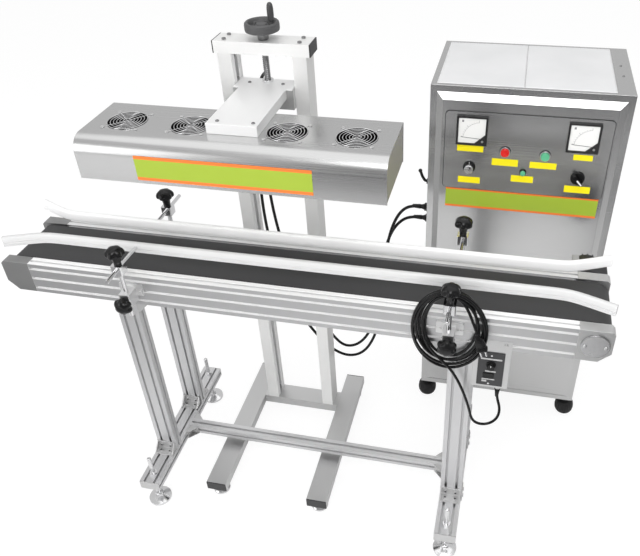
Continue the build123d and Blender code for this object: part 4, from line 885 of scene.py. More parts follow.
LEG_X, BAR_TOP, BAR_FACE = 434, 110.1, 79.9
SCREW_STEP, SCREW_FACE, SCREW_FLANGE = 14, 116.6, 126.8
socket_shades = []
for x in (-LEG_X - SCREW_STEP, SCREW_STEP - LEG_X, LEG_X - SCREW_STEP, LEG_X + SCREW_STEP):
    for sign in (-1, 1):
        socket_shades.append(socket(x, sign * SCREW_FLANGE, SCREW_FACE, "z"))
        socket_shades.append(socket(x, sign * SCREW_FACE, SCREW_FLANGE, "y", sign))
rear_feet, rear_foot_screws = [], []
for middle in (-LEG_X, LEG_X):
    left, right = middle - 28, middle + 28
    upper = [(left, BAR_TOP), (right, BAR_TOP), (right, 140), (left, 140)]
    lower = [(left, 50), (right, 50), (right, BAR_FACE), (left, BAR_FACE)]
    web = [(BAR_FACE, BAR_TOP), (50, BAR_TOP), (50, 114), (76, 140), (BAR_FACE, 140)]
    rear_feet += [plate(upper, 76, BAR_FACE), plate(lower, BAR_TOP, 114, "z")]
    rear_feet += [plate(web, start, start + 4, "x") for start in (left, right - 4)]
    for x in (middle - SCREW_STEP, middle + SCREW_STEP):
        rear_foot_screws.append(screw_head((x, 76, SCREW_FLANGE), "y", -1, 5, 2.8))
        rear_foot_screws.append(screw_head((x, 63.2, 114), "z", 1, 5, 2.8))
        socket_shades.append(socket(x, 63.2, SCREW_FACE, "z"))
        socket_shades.append(socket(x, 73.4, SCREW_FLANGE, "y", -1))
many("rear_feet", rear_feet, METALS["cast_alloy"], "base")
many("rear_foot_screws", rear_foot_screws, METALS["cast_alloy"], "base")
# dark discs on the screw heads: painted shade for the sockets' recesses
many("bracket_socket_shades", socket_shades, PLASTICS["cap_black"], "base")

# %% [markdown]
# ## Star knobs
# Eight clamping knobs hold the guides. Seen from its top such a knob is a circle with six
# fingers, and the fingers fade into a smooth dome. So the radius of the turned profile is taken
# down between the fingers by a wave of the angle, and how far depends on how near the profile
# is to the rim: at the shank and the crown there is no wave left.


# %% Turn the knobs
def star_knob(centre, axis, direction, shank):
    """Profile radius less 4.2 millimetres times a sharpened cosine of six times the angle,
    times the cube of the radius over the rim's radius."""
    profile = [
        [0.02, 0], [9.0, 0], [9.1, min(4.0, shank * 0.5)], [12.2, shank * 0.96],
        [13.5, shank + 0.3], [20.6, shank + 0.8], [23.2, shank + 2.8], [24, shank + 6],
        [23.5, shank + 10], [21.2, shank + 15], [16.8, shank + 19.2], [10.5, shank + 22],
        [4, shank + 22.9], [0.02, shank + 23],
    ]
    radius, rise = refined(profile, 53)
    valley = ((1 + np.cos(6 * angles(72))) / 2) ** 1.5
    cut = 4.2 * valley * (radius / 24) ** 3
    return swept(radius - cut, rise * direction, centre, axis, 72)


POST_X = 403
KNOB_BLACK = PLASTICS["knob_black"]
for row, sign in (("front", -1), ("rear", 1)):
    for end, x in (("left", -POST_X), ("right", POST_X)):
        upper = f"upper_knob_{row}_{end}"
        grid = star_knob((x, sign * 138, 832.1), "z", 1, 25)
        knob = skin(upper + "_star", grid, KNOB_BLACK, upper, angle=60)
        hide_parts(upper)
        lower = f"lower_knob_{row}_{end}"
        grid = star_knob((x, sign * 152.1, 720), "y", sign, 4)
        knob = skin(lower + "_star", grid, KNOB_BLACK, lower, angle=60)
        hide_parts(lower)
print("eight star knobs")

# %% [markdown]
# ## Guide rails
# Each guide is a white extrusion with a full round top and fine lines along its outer face, bent
# outwards at both ends so that goods run in. Its section is one outline, and its path is a
# straight line with a soft bend: the logarithm of one plus a power of e is flat on one side
# and a straight slope on the other, with a round corner between.


# %% Bend the guides
def guide_section():
    """Outline in (outward, up): round top, flat inner face, two fine lines on the outer face."""
    angle = np.linspace(0, math.pi, 13)
    crown = np.stack([7 + 7 * np.cos(angle), 21 + 7 * np.sin(angle)], -1)
    inner = np.array([[0, 14], [0, 5], [0.4, 0.8], [1.2, 0]])
    bottom = np.array([[8, 0], [12.8, 0], [13.7, 0.8], [14, 2], [14, 4.6], [13, 5.1], [12.6, 5.7]])
    lines = [[13, 6.3], [14, 6.8], [14, 10.4], [12.6, 11], [12, 11.8], [12.6, 12.6], [14, 13.2]]
    return np.concatenate([crown, inner, bottom, lines])[::-1]


BEND_X = 665


def guide_grid(near, flare, sign):
    """The section carried along the bent path, turned square to it in plan."""
    end = np.linspace(620, 765, 42)
    x = np.concatenate([-end[::-1], np.linspace(-600, 600, 9), end])
    slope = flare / (768 - BEND_X)
    past = np.abs(x) - BEND_X
    spread = slope * 13 * np.log1p(np.exp(past / 13))
    y = sign * (near + spread)
    tilt = slope / (1 + np.exp(-past / 13)) * np.sign(x)
    places = np.stack([x, y, np.full_like(x, 804)], -1)
    across = np.stack([-tilt, np.full_like(x, sign), np.zeros_like(x)], -1)
    across /= np.linalg.norm(across, axis=1)[:, None]
    up = np.tile(np.array([0.0, 0.0, 1.0]), (len(x), 1))
    section = np.repeat(guide_section()[None], len(x), 0)
    return lofted(section, places, across, up)


def guide_rods(sign, start, reach):
    """Two bright rods across the guide, each with eased ends."""
    far = reach - start
    profile = [[0.02, 0], [4.2, 0], [5, 0.8], [5, far - 0.8], [4.2, far], [0.02, far]]
    profile = np.array(profile) * (1, sign)
    return [turned(profile, (x, sign * start, 820), "y", 28) for x in (-POST_X, POST_X)]


for row, sign, near, flare, reach in (("front", -1, 36, 40, 197), ("rear", 1, 58, 46, 212)):
    # each guide's tone carries painted light: darker in front, lighter behind in the head's shade
    guide, white = row + "_guide", PLASTICS["guide_" + row]
    grid = guide_grid(near, flare, sign)
    rail = skin(guide + "_rail", grid, white, guide, angle=40)
    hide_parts(guide)
    rods = guide_rods(sign, near + 11, reach)
    many(row + "_rods", rods, METALS["chrome"], guide)
print("guides", len(guide_section()), "points a section")

# %% [markdown]
# ## Posts and clamps
# The posts and cross blocks are nickel plated and bright, the clamps on the rail are machined and
# a little duller. The solids have the right shapes, so they are only eased, the blocks a full
# millimetre because a plated edge is always round.

# %% Dress posts and clamps
eased("front_posts", METALS["chrome"], 1.0, 3)
eased("rear_posts", METALS["chrome"], 1.0, 3)
eased("guide_clamps", METALS["clamp_alloy"], 0.9, 3)

# %% [markdown]
# ## The head stand
# Two C-section columns on flat tubes, a crossbar on top, and the lift screw between them. The
# tubes are brushed along their length.

# %% Dress the stand
STAND_X, STAND_Y, FEET_TOP = -105, 226, 61
STAND_MIDDLE = (STAND_X, STAND_Y, 0)


def in_column_slot(at):
    """Faces in the open sides of both columns, above the feet, which get a pale matt finish:
    painted light in place of the shade in them.
    """
    across = within(np.abs(at[:, 0] - STAND_X), 92.6, 16.2)
    return across & within(at[:, 1], 228, 27.5) & (at[:, 2] > FEET_TOP)


stand_extra = [
    (METALS["stand_y"], lambda at: at[:, 2] < FEET_TOP),
    (METALS["stand_low"], lambda at: (at[:, 2] < FEET_TOP) & within(at[:, 0], STAND_X, 125)),
    # the columns' open sides get painted light instead of their shade
    (PLASTICS["slot_painted_light"], in_column_slot),
    (METALS["turned_steel"], lambda at: within(at[:, 2], 925, 10) & within(at[:, 0], STAND_X, 76)),
]
eased("stand_frame", METALS["stand_z"], 0.7, extra=stand_extra)
bolts = [(METALS["screw_steel"], lambda at: at[:, 2] > 1272.5)]
eased("top_crossbar", METALS["stand_x"], 1.4, 3, extra=bolts)
eased("carriage", METALS["cast_alloy"], 0.8)
nut = [(METALS["chrome"], lambda at: at[:, 2] > 1168.5)]
eased("head_arm", METALS["arm_sheet"], 1.2, 3, extra=nut)

# %% [markdown]
# ## The lift screw
# A trapezoidal thread with a pitch of five millimetres, which is also how far one turn of the
# handwheel lifts the head. On a turned rod a thread is a wave of height plus angle: where the sum
# passes a whole pitch, the radius dips. The wave is cut flat at top and bottom.


# %% Cut the thread
def threaded_rod(low, high, radius, pitch, depth):
    """Radius less the depth times a clipped cosine of the height in pitches less the angle."""
    height = np.arange(low, high, pitch / 8)[:, None]
    phase = 2 * math.pi * height / pitch - angles(24)
    dip = np.clip(0.5 - 0.9 * np.cos(phase), 0, 1)
    return swept(radius - depth * dip, height, STAND_MIDDLE, "z", 24)


rod = threaded_rod(905, 1298, 8, 5, 1.2)
screw = skin("lift_thread", rod, METALS["screw_steel"], "lift_drive", angle=50)
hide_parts("lift_screw")
print("thread", len(screw.data.polygons), "faces")

# %% [markdown]
# ## The handwheel and its grip
# The wheel is a moulded disc: a thick rounded rim, a web a little below it with three deep
# pockets, and a hub on a turned steel neck. Its profile is turned, and the web's height goes
# down in the pockets by a product of two bumps, one in radius and one in angle. The grip is
# waisted and has a collar.


# %% Turn the wheel
def wheel_grid():
    """A turned profile. Its web goes down eight millimetres where a flat-topped bump of the
    radius and a clipped cosine of three times the angle are both one."""
    profile = [
        [8.1, 1290], [13, 1290], [13, 1293], [30, 1294], [33, 1292], [38, 1292], [41, 1293.6],
        [41.8, 1297], [41.8, 1307], [41, 1311.4], [38.6, 1313.7], [36, 1314], [33.6, 1313],
        [32, 1310.5], [31, 1308], [29, 1306.6], [22, 1306], [17, 1306], [14, 1307],
        [12.6, 1309], [11, 1309.6], [0.02, 1309.6],
    ]
    radius, height = refined(profile, 85)
    on_web = np.exp(-(((radius - 23) / 6.5) ** 6)) * (height > 1302) * (radius < 31)
    pocket = np.clip(2.5 * np.cos(3 * (angles(72) - math.pi)) + 0.6, 0, 1)
    return swept(radius, height - 8 * on_web * pocket, STAND_MIDDLE, "z", 72)


CRANK = (-81, STAND_Y, 0)
neck = [[8.1, 1272.2], [12.6, 1272.2], [13, 1272.8], [13, 1290.2], [8.1, 1290.2]]
neck = turned(neck, STAND_MIDDLE)
skin("handwheel_neck", neck, METALS["screw_steel"], "lift_drive")
black = PLASTICS["wheel_black"]
wheel = skin("handwheel_disc", wheel_grid(), black, "lift_drive", angle=50)
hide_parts("handwheel")
crank = [[0.02, 1296], [5.6, 1296], [5.6, 1299.4], [3, 1299.9], [3, 1352], [0.02, 1352]]
crank = turned(crank, CRANK, "z", 28)
skin("crank_pin", crank, METALS["turned_steel"], "lift_drive")
handle = [
    [3.1, 1300.2], [5, 1300.2], [6.6, 1301.4], [6.6, 1312], [5.8, 1313.2], [5.7, 1314.6],
    [6.6, 1315.8], [7.4, 1320], [7.9, 1332], [7.8, 1344], [7, 1351], [5.4, 1355.6],
    [3.2, 1357.6], [0.02, 1358],
]
handle = turned(handle, CRANK, "z", 40)
grip = skin("crank_handle", handle, PLASTICS["grip_black"], "crank_grip", angle=50)
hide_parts("crank_grip")

# %% [markdown]
# ## Strain reliefs
# Where a cord leaves its housing it wears a rubber sleeve that thins towards the cord, ribbed so
# that it bends in a curve. The profile is turned, with the ribs as a wave along it that fades.


# %% Sleeves on the cords
def sleeve(length, thick, thin):
    """Radius from thick to thin, plus a cosine rib every four millimetres."""
    along = np.linspace(0, length, 45)
    share = along / length
    radius = thick + (thin - thick) * share + 0.55 * (1 - share) * np.cos(2 * math.pi * along / 4)
    profile = np.stack([radius, along], -1)
    return np.concatenate([[[0.02, 0]], profile, [[0.02, length]]])


down = turned(sleeve(26, 6.4, 4.1) * (1, -1), LEAD_EXIT, "z", 32)
skin("lead_sleeve", down, rubber, "base")
into_cabinet = [
    turned(sleeve(24, 7, 5.2) * (1, -1), route[-1], "x", 32) for route in (LEFT_CABLE, RIGHT_CABLE)
]
many("cabinet_sleeves", into_cabinet, rubber, "base")
from_head = [turned(sleeve(26, 7, 5.2), route[0], "y", 32) for route in (LEFT_CABLE, RIGHT_CABLE)]
many("head_sleeves", from_head, rubber, "head")

# %% [markdown]
# ## The sealing head
# The cover is folded stainless sheet, brushed lengthways. Its front fold is wide and soft, its
# rear one crisp, and the end plates lie almost flush. The drawing rounds both folds by 20 mm, so
# the corners of the copy are moved: each keeps its angle round the fold, but on an arc of the
# fold's own radius. The four fans sit under round holes, each behind a guard of chromed wire:
# rings on two crossed wires with an eye at each end. A ring of wire is a circle carried round a
# circle.

# %% Dress the head
FRONT_FOLD, REAR_FOLD, DRAWN_FOLD = 38.0, 3.0, 20.0
HEAD_FRONT, HEAD_TOP, HEAD_MIDDLE, HEAD_HALF = -100.0, 1143.0, -102.5, 358.0
FAN_OFFSETS, FAN_Y, FAN_HOLE, DRAWN_HOLE = (-272, -114, 114, 272), 5, 46.5, 43


def folded(corners):
    """A corner on a drawn fold keeps its angle and its depth under the sheet; its arc's centre
    moves by the difference of the two radii. Corners of the fan holes move out from the hole's
    middle, and corners of the end plates move out along x."""
    moved = corners.copy()
    for sign, fold in ((-1, FRONT_FOLD), (1, REAR_FOLD)):
        drawn = np.array([sign * (-HEAD_FRONT - DRAWN_FOLD), HEAD_TOP - DRAWN_FOLD])
        wanted = np.array([sign * (-HEAD_FRONT - fold), HEAD_TOP - fold])
        arm = corners[:, 1:] - drawn
        reach = np.linalg.norm(arm, axis=1)
        outside = (arm[:, 0] * sign >= -0.01) & (arm[:, 1] >= -0.01)
        on_fold = outside & (reach > 17.5) & (reach < 20.5)
        bent = wanted + arm / reach[:, None] * (fold - DRAWN_FOLD + reach)[:, None]
        moved[on_fold, 1:] = bent[on_fold]
    for offset in FAN_OFFSETS:
        arm = corners[:, :2] - (HEAD_MIDDLE + offset, FAN_Y)
        on_hole = (np.linalg.norm(arm, axis=1) < DRAWN_HOLE + 0.6) & (corners[:, 2] > 1138)
        moved[on_hole, :2] += arm[on_hole] * (FAN_HOLE / DRAWN_HOLE - 1)
    along = corners[:, 0] - HEAD_MIDDLE
    inset = HEAD_HALF - np.abs(along)
    plates = (inset > 0.5) & (inset < 20)
    depth = inset - inset[plates].min() if plates.any() else inset
    moved[plates, 0] = HEAD_MIDDLE + np.sign(along[plates]) * (HEAD_HALF - 1.6 - depth[plates])
    print("end plates stood back", round(float(inset[plates].min()), 1), "mm")
    return moved


ends = [(METALS["end_plate"], lambda at: np.abs(at[:, 0] - HEAD_MIDDLE) > HEAD_HALF - 12.5)]
eased("head_shell", METALS["head_sheet"], 0.6, 3, extra=ends, reshape=folded)
board = [(PLASTICS["board_white"], lambda at: at[:, 2] < 1049.2)]
eased("sealing_coil", METALS["zinc"], 0.5, extra=board)
# the fans' near pure black is their own black plus painted shade under the guards
eased("fan_frames", PLASTICS["fan_black"], 0.5)


def wire_ring(centre, radius, wire, around=72, across=10):
    """Torus: the big circle's radius plus the wire's times a cosine, and the wire's times a
    sine for the height."""
    turn = np.linspace(0, 2 * math.pi, around + 1)[:, None]
    small = angles(across)[None, :]
    reach = radius + wire * np.cos(small)
    x = np.cos(turn) * reach
    y = np.sin(turn) * reach
    z = np.broadcast_to(wire * np.sin(small), x.shape)
    return np.stack([x, y, z], -1) + centre


FAN_X = [HEAD_MIDDLE + offset for offset in FAN_OFFSETS]
rings, spokes, eyes = [], [], []
for x in FAN_X:
    centre = np.array([x, FAN_Y, 1144.2])
    rings += [wire_ring(centre, radius, 0.9) for radius in (45.6, 38.4, 31.2, 24, 16.8, 9.6)]
    for degrees in (45, 135):
        turn = math.radians(degrees)
        toward = np.array([math.cos(turn), math.sin(turn), 0.0])
        sideways = np.array([-toward[1], toward[0], 0.0])
        small = angles(10)[None, :, None]
        round_wire = 0.7 * (np.cos(small) * sideways + np.sin(small) * [0, 0, 1.0])
        reach = np.array([-54.8, 54.8])[:, None, None]
        spokes.append(centre + (0, 0, -0.5) + reach * toward + round_wire)
        for sign in (-1, 1):
            place = centre + toward * 58.3 * sign
            rings.append(wire_ring(place, 3.6, 0.8, 28))
            eyes.append(screw_head((place[0], place[1], 1143), "z", 1, 3.3, 2.0))
guards = many("guard_rings", rings, METALS["guard_steel"], "head", lids=False)
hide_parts("fan_guards")
many("guard_spokes", spokes, METALS["guard_steel"], "head")
many("guard_screws", eyes, METALS["zinc"], "head")
for number, x in enumerate(FAN_X, start=1):
    rotor = f"fan_rotor_{number}"
    eased(rotor, PLASTICS["fan_black"], 0.3)
    disc = turned([[0.02, 0], [14, 0], [14, 0.3], [0.02, 0.4]], (x, FAN_Y, 1139), "z", 40)
    skin(rotor + "_label", disc, PLASTICS["grip_black"], rotor)
print("fans", len(FAN_X))

# %% [markdown]
# ## The generator cabinet
# The body and the bevelled panel are brushed stainless sheet. The instrument plate is the same
# sheet, with a black strip behind its edge that shows as a dark line round it: painted shade for
# the shadow gap. A protective film still covers most of the top in two strips, milky and not
# quite flat, so it is a sheet whose height is a slow wave.

# %% Dress the cabinet
eased("cabinet_body", METALS["cabinet_sheet"], 1.4, 3)
eased("cabinet_panel", METALS["cabinet_sheet"], 0.9, 3)
bezels = [(KNOB_BLACK, lambda at: at[:, 1] < 333.6)]
eased("instrument_plate", METALS["cabinet_sheet"], 0.5, extra=bezels)
eased("cable_glands", KNOB_BLACK, 0.5)
# a black strip behind the plate's edge: painted shade for the shadow gap round the plate
shadow_gap_strip = plate(rounded_outline(420.6, 224.6, 11.8, 10) + (534.5, 962.5), 334.9, 337)
skin("plate_shadow_gap", shadow_gap_strip, PLASTICS["cap_black"], "base")


def film(x_range, y_range, phase):
    """A strip of film: its height is a product of two slow sines, and its rim is pressed flat
    on the sheet."""
    x = np.linspace(*x_range, 60)
    y = np.linspace(*y_range, 50)
    across, along = np.meshgrid(x, y, indexing="ij")
    inner_x = np.sin(math.pi * (across - x[0]) / (x[-1] - x[0]))
    inner_y = np.sin(math.pi * (along - y[0]) / (y[-1] - y[0]))
    ripple = np.sin(across / 23 + phase + along / 61) * np.sin(along / 37 + phase)
    height = 1135.35 + 0.55 * (1 + ripple) * np.sqrt(np.abs(inner_x * inner_y))
    points = np.stack([across, along, height], -1)
    faces = grid_faces(60, 50, ring=False)
    return points.reshape(-1, 3), faces


FILM = Finish("film", colour(240, 240, 241), 0.38, 0.0)
haze = FILM.noise((9, 9, 9), 4.0)
FILM.feed("Base Color", FILM.between(haze, colour(224, 225, 226), colour(240, 240, 241)))
FILM.feed("Roughness", haze * 0.3 + 0.2)
FILM.bump(FILM.noise((60, 25, 60), 3.0), 0.15, 0.0004)
for name, x_range, phase in (("left", (297, 515.4), 0.4), ("right", (516.2, 737), 2.1)):
    points, faces = film(x_range, (360, 674), phase)
    points = metres(points).tolist()
    strip = link_mesh("film_" + name, points, faces, FILM.material, "base")
    body = strip.modifiers.new("thickness", "SOLIDIFY")
    body.thickness = 0.00025
    body.offset = -1
    smooth(strip, 60)

# %% [markdown]
# ## Feet
# The cabinet stands on four round rubber feet with upright ribs. Radius is a turned profile less
# a small wave of the angle, twenty ribs round, and the wave is there only on the foot's belly.
# The conveyor and the stand have plated feet that the drawing already shapes, so they are eased.


# %% Ribbed feet
def ribbed_foot(x, y):
    """Radius less 0.9 millimetres times a clipped cosine of twenty times the angle, times a
    flat-topped bump of the height."""
    profile = [
        [0.02, 0], [16, 0], [20, 1.2], [25, 5], [28.4, 11.5], [29.8, 19], [30, 26], [29.4, 34],
        [27.4, 42], [24.6, 47.4], [21.6, 50], [12, 50.4], [12, 77], [0.02, 77],
    ]
    radius, height = refined(profile, 45)
    belly = np.exp(-(((height - 25) / 19) ** 4)) * (radius > 20)
    wave = np.clip(np.cos(20 * angles(120)), -0.2, 1)
    return swept(radius - 0.9 * belly * wave, height, (x, y, 0), "z", 120)


feet = [ribbed_foot(x, y) for x in (300, 764) for y in (381, 652)]
feet = many("ribbed_feet", feet, PLASTICS["rubber_black"], "base", angle=50)
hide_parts("cabinet_feet")
eased("levelling_feet", METALS["chrome"], 0.5)

# %% [markdown]
# ## Panel meters
# Each meter is a black frame with a white dial behind it, a black cover over the pivot in one
# corner, and a needle at rest. The scale is an arc about the pivot with a tick for each tenth;
# every tick is the same thin bar, turned about the pivot, so one function places them all.

# %% Dials, scales and needles
eased("meter_cases", PLASTICS["meter_black"], 0.6)
METER_CORNERS = [(282 + x, 983.5) for x in (73, 352)]
dials, marks, covers = [], [], []


def bar(x, z, length, width, turn, low, high):
    """A thin bar whose middle is at x and z, turned about the y axis."""
    section = np.array([[-1, -1], [1, -1], [1, 1], [-1, 1]]) * (length / 2, width / 2)
    return plate(spun(section, turn) + (x, z), low, high)


def arc_band(x, z, radius, width, start, end, low, high):
    """A curved strip: the same angles out and back at two radii."""
    turn = np.radians(np.linspace(start, end, 30))
    out = np.stack([np.cos(turn), np.sin(turn)], -1)
    outline = np.concatenate([out * (radius + width / 2), out[::-1] * (radius - width / 2)])
    return plate(outline + (x, z), low, high)


for x, z in METER_CORNERS:
    dial = np.array([[5.4, 5.4], [47.8, 5.4], [74.6, 30.2], [74.6, 74.6], [5.4, 74.6]]) + (x, z)
    dials.append(plate(dial, 331.3, 332))
    pivot_x, pivot_z = x + 64, z + 18
    marks.append(arc_band(pivot_x, pivot_z, 46, 0.5, 98, 174, 331.0, 331.3))
    for step in range(11):
        degrees = 98 + 7.6 * step
        turn = math.radians(degrees)
        length = 6 if step % 5 == 0 else 3.5
        reach = 46 + length / 2
        place = (pivot_x + reach * math.cos(turn), pivot_z + reach * math.sin(turn))
        marks.append(bar(*place, length, 0.5 if step % 5 else 0.8, turn, 331.0, 331.3))
    marks.append(bar(x + 16, z + 66, 5, 5.6, 0, 331.0, 331.3))
    covers.append(screw_head((x + 68, 328.6, z + 12), "y", -1, 3.2, 1.2))
many("meter_dials", dials, PLASTICS["dial_white"], "base")
many("meter_marks", marks, PLASTICS["mark_grey"], "base")
many("meter_screws", covers, METALS["zinc"], "base")

# %% [markdown]
# ## Labels and banners
# The labels are thin yellow plates and the banners are films in three stripes. Both are left
# bare. They stand a fraction of a millimetre off the sheet, which is what gives them an edge.



# %% Stick on the labels
def rectangle(left, right, low, high, radius, steps=4):
    """Outline of a rounded rectangle between its four sides."""
    middle = ((left + right) / 2, (low + high) / 2)
    return rounded_outline(right - left, high - low, radius, steps) + middle


PANEL = 334
LABELS = [
    (359, 427.7, 963.4, 982.3), (452, 520, 929, 949), (550, 618, 929, 947), (656, 704, 961, 977),
    (366, 425, 870, 888.5), (505.8, 563.5, 884.5, 903.6), (645.5, 711.5, 866, 885.8),
]
yellow = [plate(rectangle(*sides, 1.0), PANEL - 0.6, PANEL) for sides in LABELS]
many("yellow_labels", yellow, PLASTICS["label_yellow"], "base")


def stripes(name, x_range, z_range, edge, front, back, body):
    """A banner: one wide field and a narrow strip above and below it."""
    left, right = x_range
    low, high = z_range
    field = rectangle(left, right, low + edge, high - edge, 0.5, 3)
    skin(name + "_field", plate(field, front, back), PLASTICS["banner_lime"], body)
    strips = []
    for z in (low + edge / 2, high - edge / 2):
        half = (edge - 0.1) / 2
        strips.append(plate(rectangle(left, right, z - half, z + half, 0.5, 3), front, back))
    many(name + "_strips", strips, PLASTICS["banner_orange"], body)


stripes("cabinet_banner", (334.5, 738), (790.5, 851), 6.5, 336.5, 337, "base")
stripes("head_banner", (-315.5, 94.5), (1051.5, 1112), 8.0, -100.5, -100, "head")
print("labels", len(yellow))

# %% [markdown]
# ## Buttons, lamp and knobs
# All are turned about an axis that points out of the panel. The push buttons are dished, the lamp
# is domed, and the level knob has a fluted skirt with a silver cap. The selector is a round
# collar with a thumb bar across it that carries a white line.


# %% Turn the controls
def fluted(profile, centre, flutes, depth):
    """A turned profile whose radius is less a small wave of the angle, but not near the axis."""
    profile = np.asarray(profile, float)
    radius, rise = profile[:, :1], profile[:, 1:]
    wave = (1 + np.cos(flutes * angles(96))) / 2
    return swept(radius - depth * (radius / radius.max()) ** 4 * wave, rise, centre, "y", 96)


BUTTONS = {"red_button": (484, 970), "green_button": (586, 967)}
cap = [
    [0.02, 11], [10.9, 11], [10.9, -10.6], [10.5, -11.6], [9.6, -12], [8.6, -11.9], [6, -11],
    [0.02, -10.6],
]
rim = [[14, 0], [14, -5.4], [13.4, -6], [12, -6.2], [11.1, -6], [11.1, 0]]
base = [[0.02, 0.2], [15, 0.2], [15, -0.6], [0.02, -0.6]]
for name, (x, z) in BUTTONS.items():
    tint = "button_" + name.split("_")[0]
    button = skin(name + "_cap", turned(cap, (x, PANEL, z), "y", 56), PLASTICS[tint], name)
    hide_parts(name)
    grid = turned(rim, (x, PANEL, z), "y", 56)
    skin(name + "_rim", grid, METALS["chrome"], "base")
bases = [turned(base, (x, PANEL, z), "y", 56) for x, z in BUTTONS.values()]
many("button_gaskets", bases, KNOB_BLACK, "base")

LAMP = (535, PANEL, 914)
collar = [[0.02, 0], [9, 0], [9, -3.4], [8.4, -4], [7.2, -4.2], [0.02, -4.2]]
skin("lamp_collar", turned(collar, LAMP, "y"), KNOB_BLACK, "base")
lens = [[0.02, -3.8], [7, -3.8], [7, -7.6], [6.4, -9.6], [4.8, -10.6], [2.4, -11], [0.02, -11.1]]
lamp = skin("lamp_lens", turned(lens, LAMP, "y"), PLASTICS["lamp_green"], "base")
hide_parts("pilot_lamp")

LEVEL = (394, PANEL, 918)
skirt = [
    [0.02, 2.9], [3, 2.9], [3, -0.1], [15.6, -0.1], [16.5, -1], [16.4, -4], [14, -5.2],
    [11.6, -5.8], [11.4, -17], [10.4, -18], [0.02, -18],
]
knob = skin("level_skirt", fluted(skirt, LEVEL, 24, 0.9), KNOB_BLACK, "level_knob")
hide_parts("level_knob")
silver = [[0.02, -5.6], [12, -5.6], [12, -17.2], [11, -18.6], [9.6, -19], [0.02, -19]]
silver = turned(silver, LEVEL, "y")
skin("level_cap", silver, METALS["chrome"], "level_knob")
pointer = bar(394, 931.4, 4, 1.4, math.pi / 2, 328.6, 333)
skin("level_pointer", pointer, PLASTICS["mark_white"], "level_knob")

SELECTOR_X, SELECTOR_Z = 675, 910
collar = [
    [0.02, 2.9], [3, 2.9], [3, -0.1], [17.6, -0.1], [18.5, -1], [18.2, -4.6], [16.8, -6.1],
    [0.02, -6.4],
]
collar = fluted(collar, (SELECTOR_X, PANEL, SELECTOR_Z), 20, 0.7)
switch = skin("selector_collar", collar, KNOB_BLACK, "selector_switch")
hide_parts("selector_switch")
lean = math.radians(-48)
thumb = spun(rounded_outline(33, 9, 3.4, 6), lean) + (SELECTOR_X, SELECTOR_Z)
skin("selector_thumb", plate(thumb, 314.2, 328), KNOB_BLACK, "selector_switch")
line = spun([[-3, -2.1], [15.4, -2.1], [15.4, 2.1], [-3, 2.1]], lean) + (SELECTOR_X, SELECTOR_Z)
line = plate(line, 313.7, 314.5)
skin("selector_line", line, PLASTICS["mark_white"], "selector_switch")

# %% [markdown]
# ## The speed controller
# A folded sheet hangs on the rail and carries a black face: two screws, a dial with a skirt, two
# pale fields, and a rocker under them. Its fields are left bare.

# %% Face, dial and rocker
gland = [(METALS["zinc"], lambda at: at[:, 2] < 559.9)]
eased("control_box", METALS["box_sheet"], 0.6, extra=gland)
eased("control_face", PLASTICS["face_black"], 0.6)
FACE = -113.8
FIELDS = [
    (481, 531, 652.4, 657), (493.6, 519, 613, 617), (487, 518, 587.2, 590.4),
    (487.4, 499, 579.4, 585),
]
fields = [plate(rectangle(*sides, 0.8), FACE - 0.5, FACE) for sides in FIELDS]
many("face_fields", fields, PLASTICS["field_grey"], "base")
rocker = rounded_outline(26, 15, 1.6, 5) + (502, 602)
skin("face_rocker", plate(rocker, FACE - 2.6, FACE), KNOB_BLACK, "base")
places = (506, FACE, 665.6), (504, FACE, 574.6)
face_screws = [screw_head(place, "y", -1, 3.0, 1.4) for place in places]
many("face_screws", face_screws, METALS["chrome"], "base")
dial = [
    [0.02, 5], [3, 5], [3, -0.1], [11.4, -0.1], [12, -0.8], [11.6, -2.8], [9.4, -3.6], [9, -12.2],
    [8.2, -13], [0.02, -13],
]
dial = fluted(dial, (506, FACE, 637), 18, 0.8)
knob = skin("dial_knob", dial, KNOB_BLACK, "speed_dial")
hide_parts("speed_dial")
mark = bar(506, 642, 6, 1.2, math.pi / 2, FACE - 13.4, FACE - 12.8)
skin("dial_mark", mark, PLASTICS["mark_white"], "speed_dial")

# %% [markdown]
# ## Floor and light
# A product picture has a floor that is white to the eye, with only a soft shadow on it. The
# metal sees the room by reflection: bright from above, where large lamps hang, and darker low
# down, which is what makes the upright faces darker than the tops. So the world is white where
# the camera looks, grey where metal looks, darkest low in front, and a soft fill where it only
# lights. Four dark cloths lie on the floor, with a strip of white paper between two of them. Only
# metal sees them: they give the sheets their dark fields and one bright band. One wall of lamps in
# front is a fill that metal does not see.

# %% Light the room
floor = bpy.data.objects.new("floor", bpy.data.meshes.new("floor"))
floor.data.from_pydata([(-9, -9, 0), (9, -9, 0), (9, 9, 0), (-9, 9, 0)], [], [(0, 1, 2, 3)])
scene.collection.objects.link(floor)
FLOOR = Finish("floor", colour(240, 240, 240), 0.9)
FLOOR.feed("Roughness", FLOOR.noise((3, 3, 3), 2.0) * 0.1 + 0.85)
rays = FLOOR.tree.nodes.new("ShaderNodeLightPath")
looked_at = Wire(FLOOR.tree, rays.outputs["Is Camera Ray"])
in_metal = Wire(FLOOR.tree, rays.outputs["Is Glossy Ray"])
white = FLOOR.node("ShaderNodeEmission", None, {"Strength": 1.1})
cloth = FLOOR.node("ShaderNodeEmission", None, {"Color": colour(72, 72, 74), "Strength": 1.0})
spot = FLOOR.node("ShaderNodeTexCoord", output="Object")
floor_x = FLOOR.node("ShaderNodeSeparateXYZ", None, {"Vector": spot})
floor_y = Wire(FLOOR.tree, floor_x.socket.node.outputs["Y"])


def band(wire, start, end, soft):
    """One between start and end, zero outside, with straight ramps of a given width."""
    return ((wire - start) * (1 / soft)).clipped() * ((end - wire) * (1 / soft)).clipped()


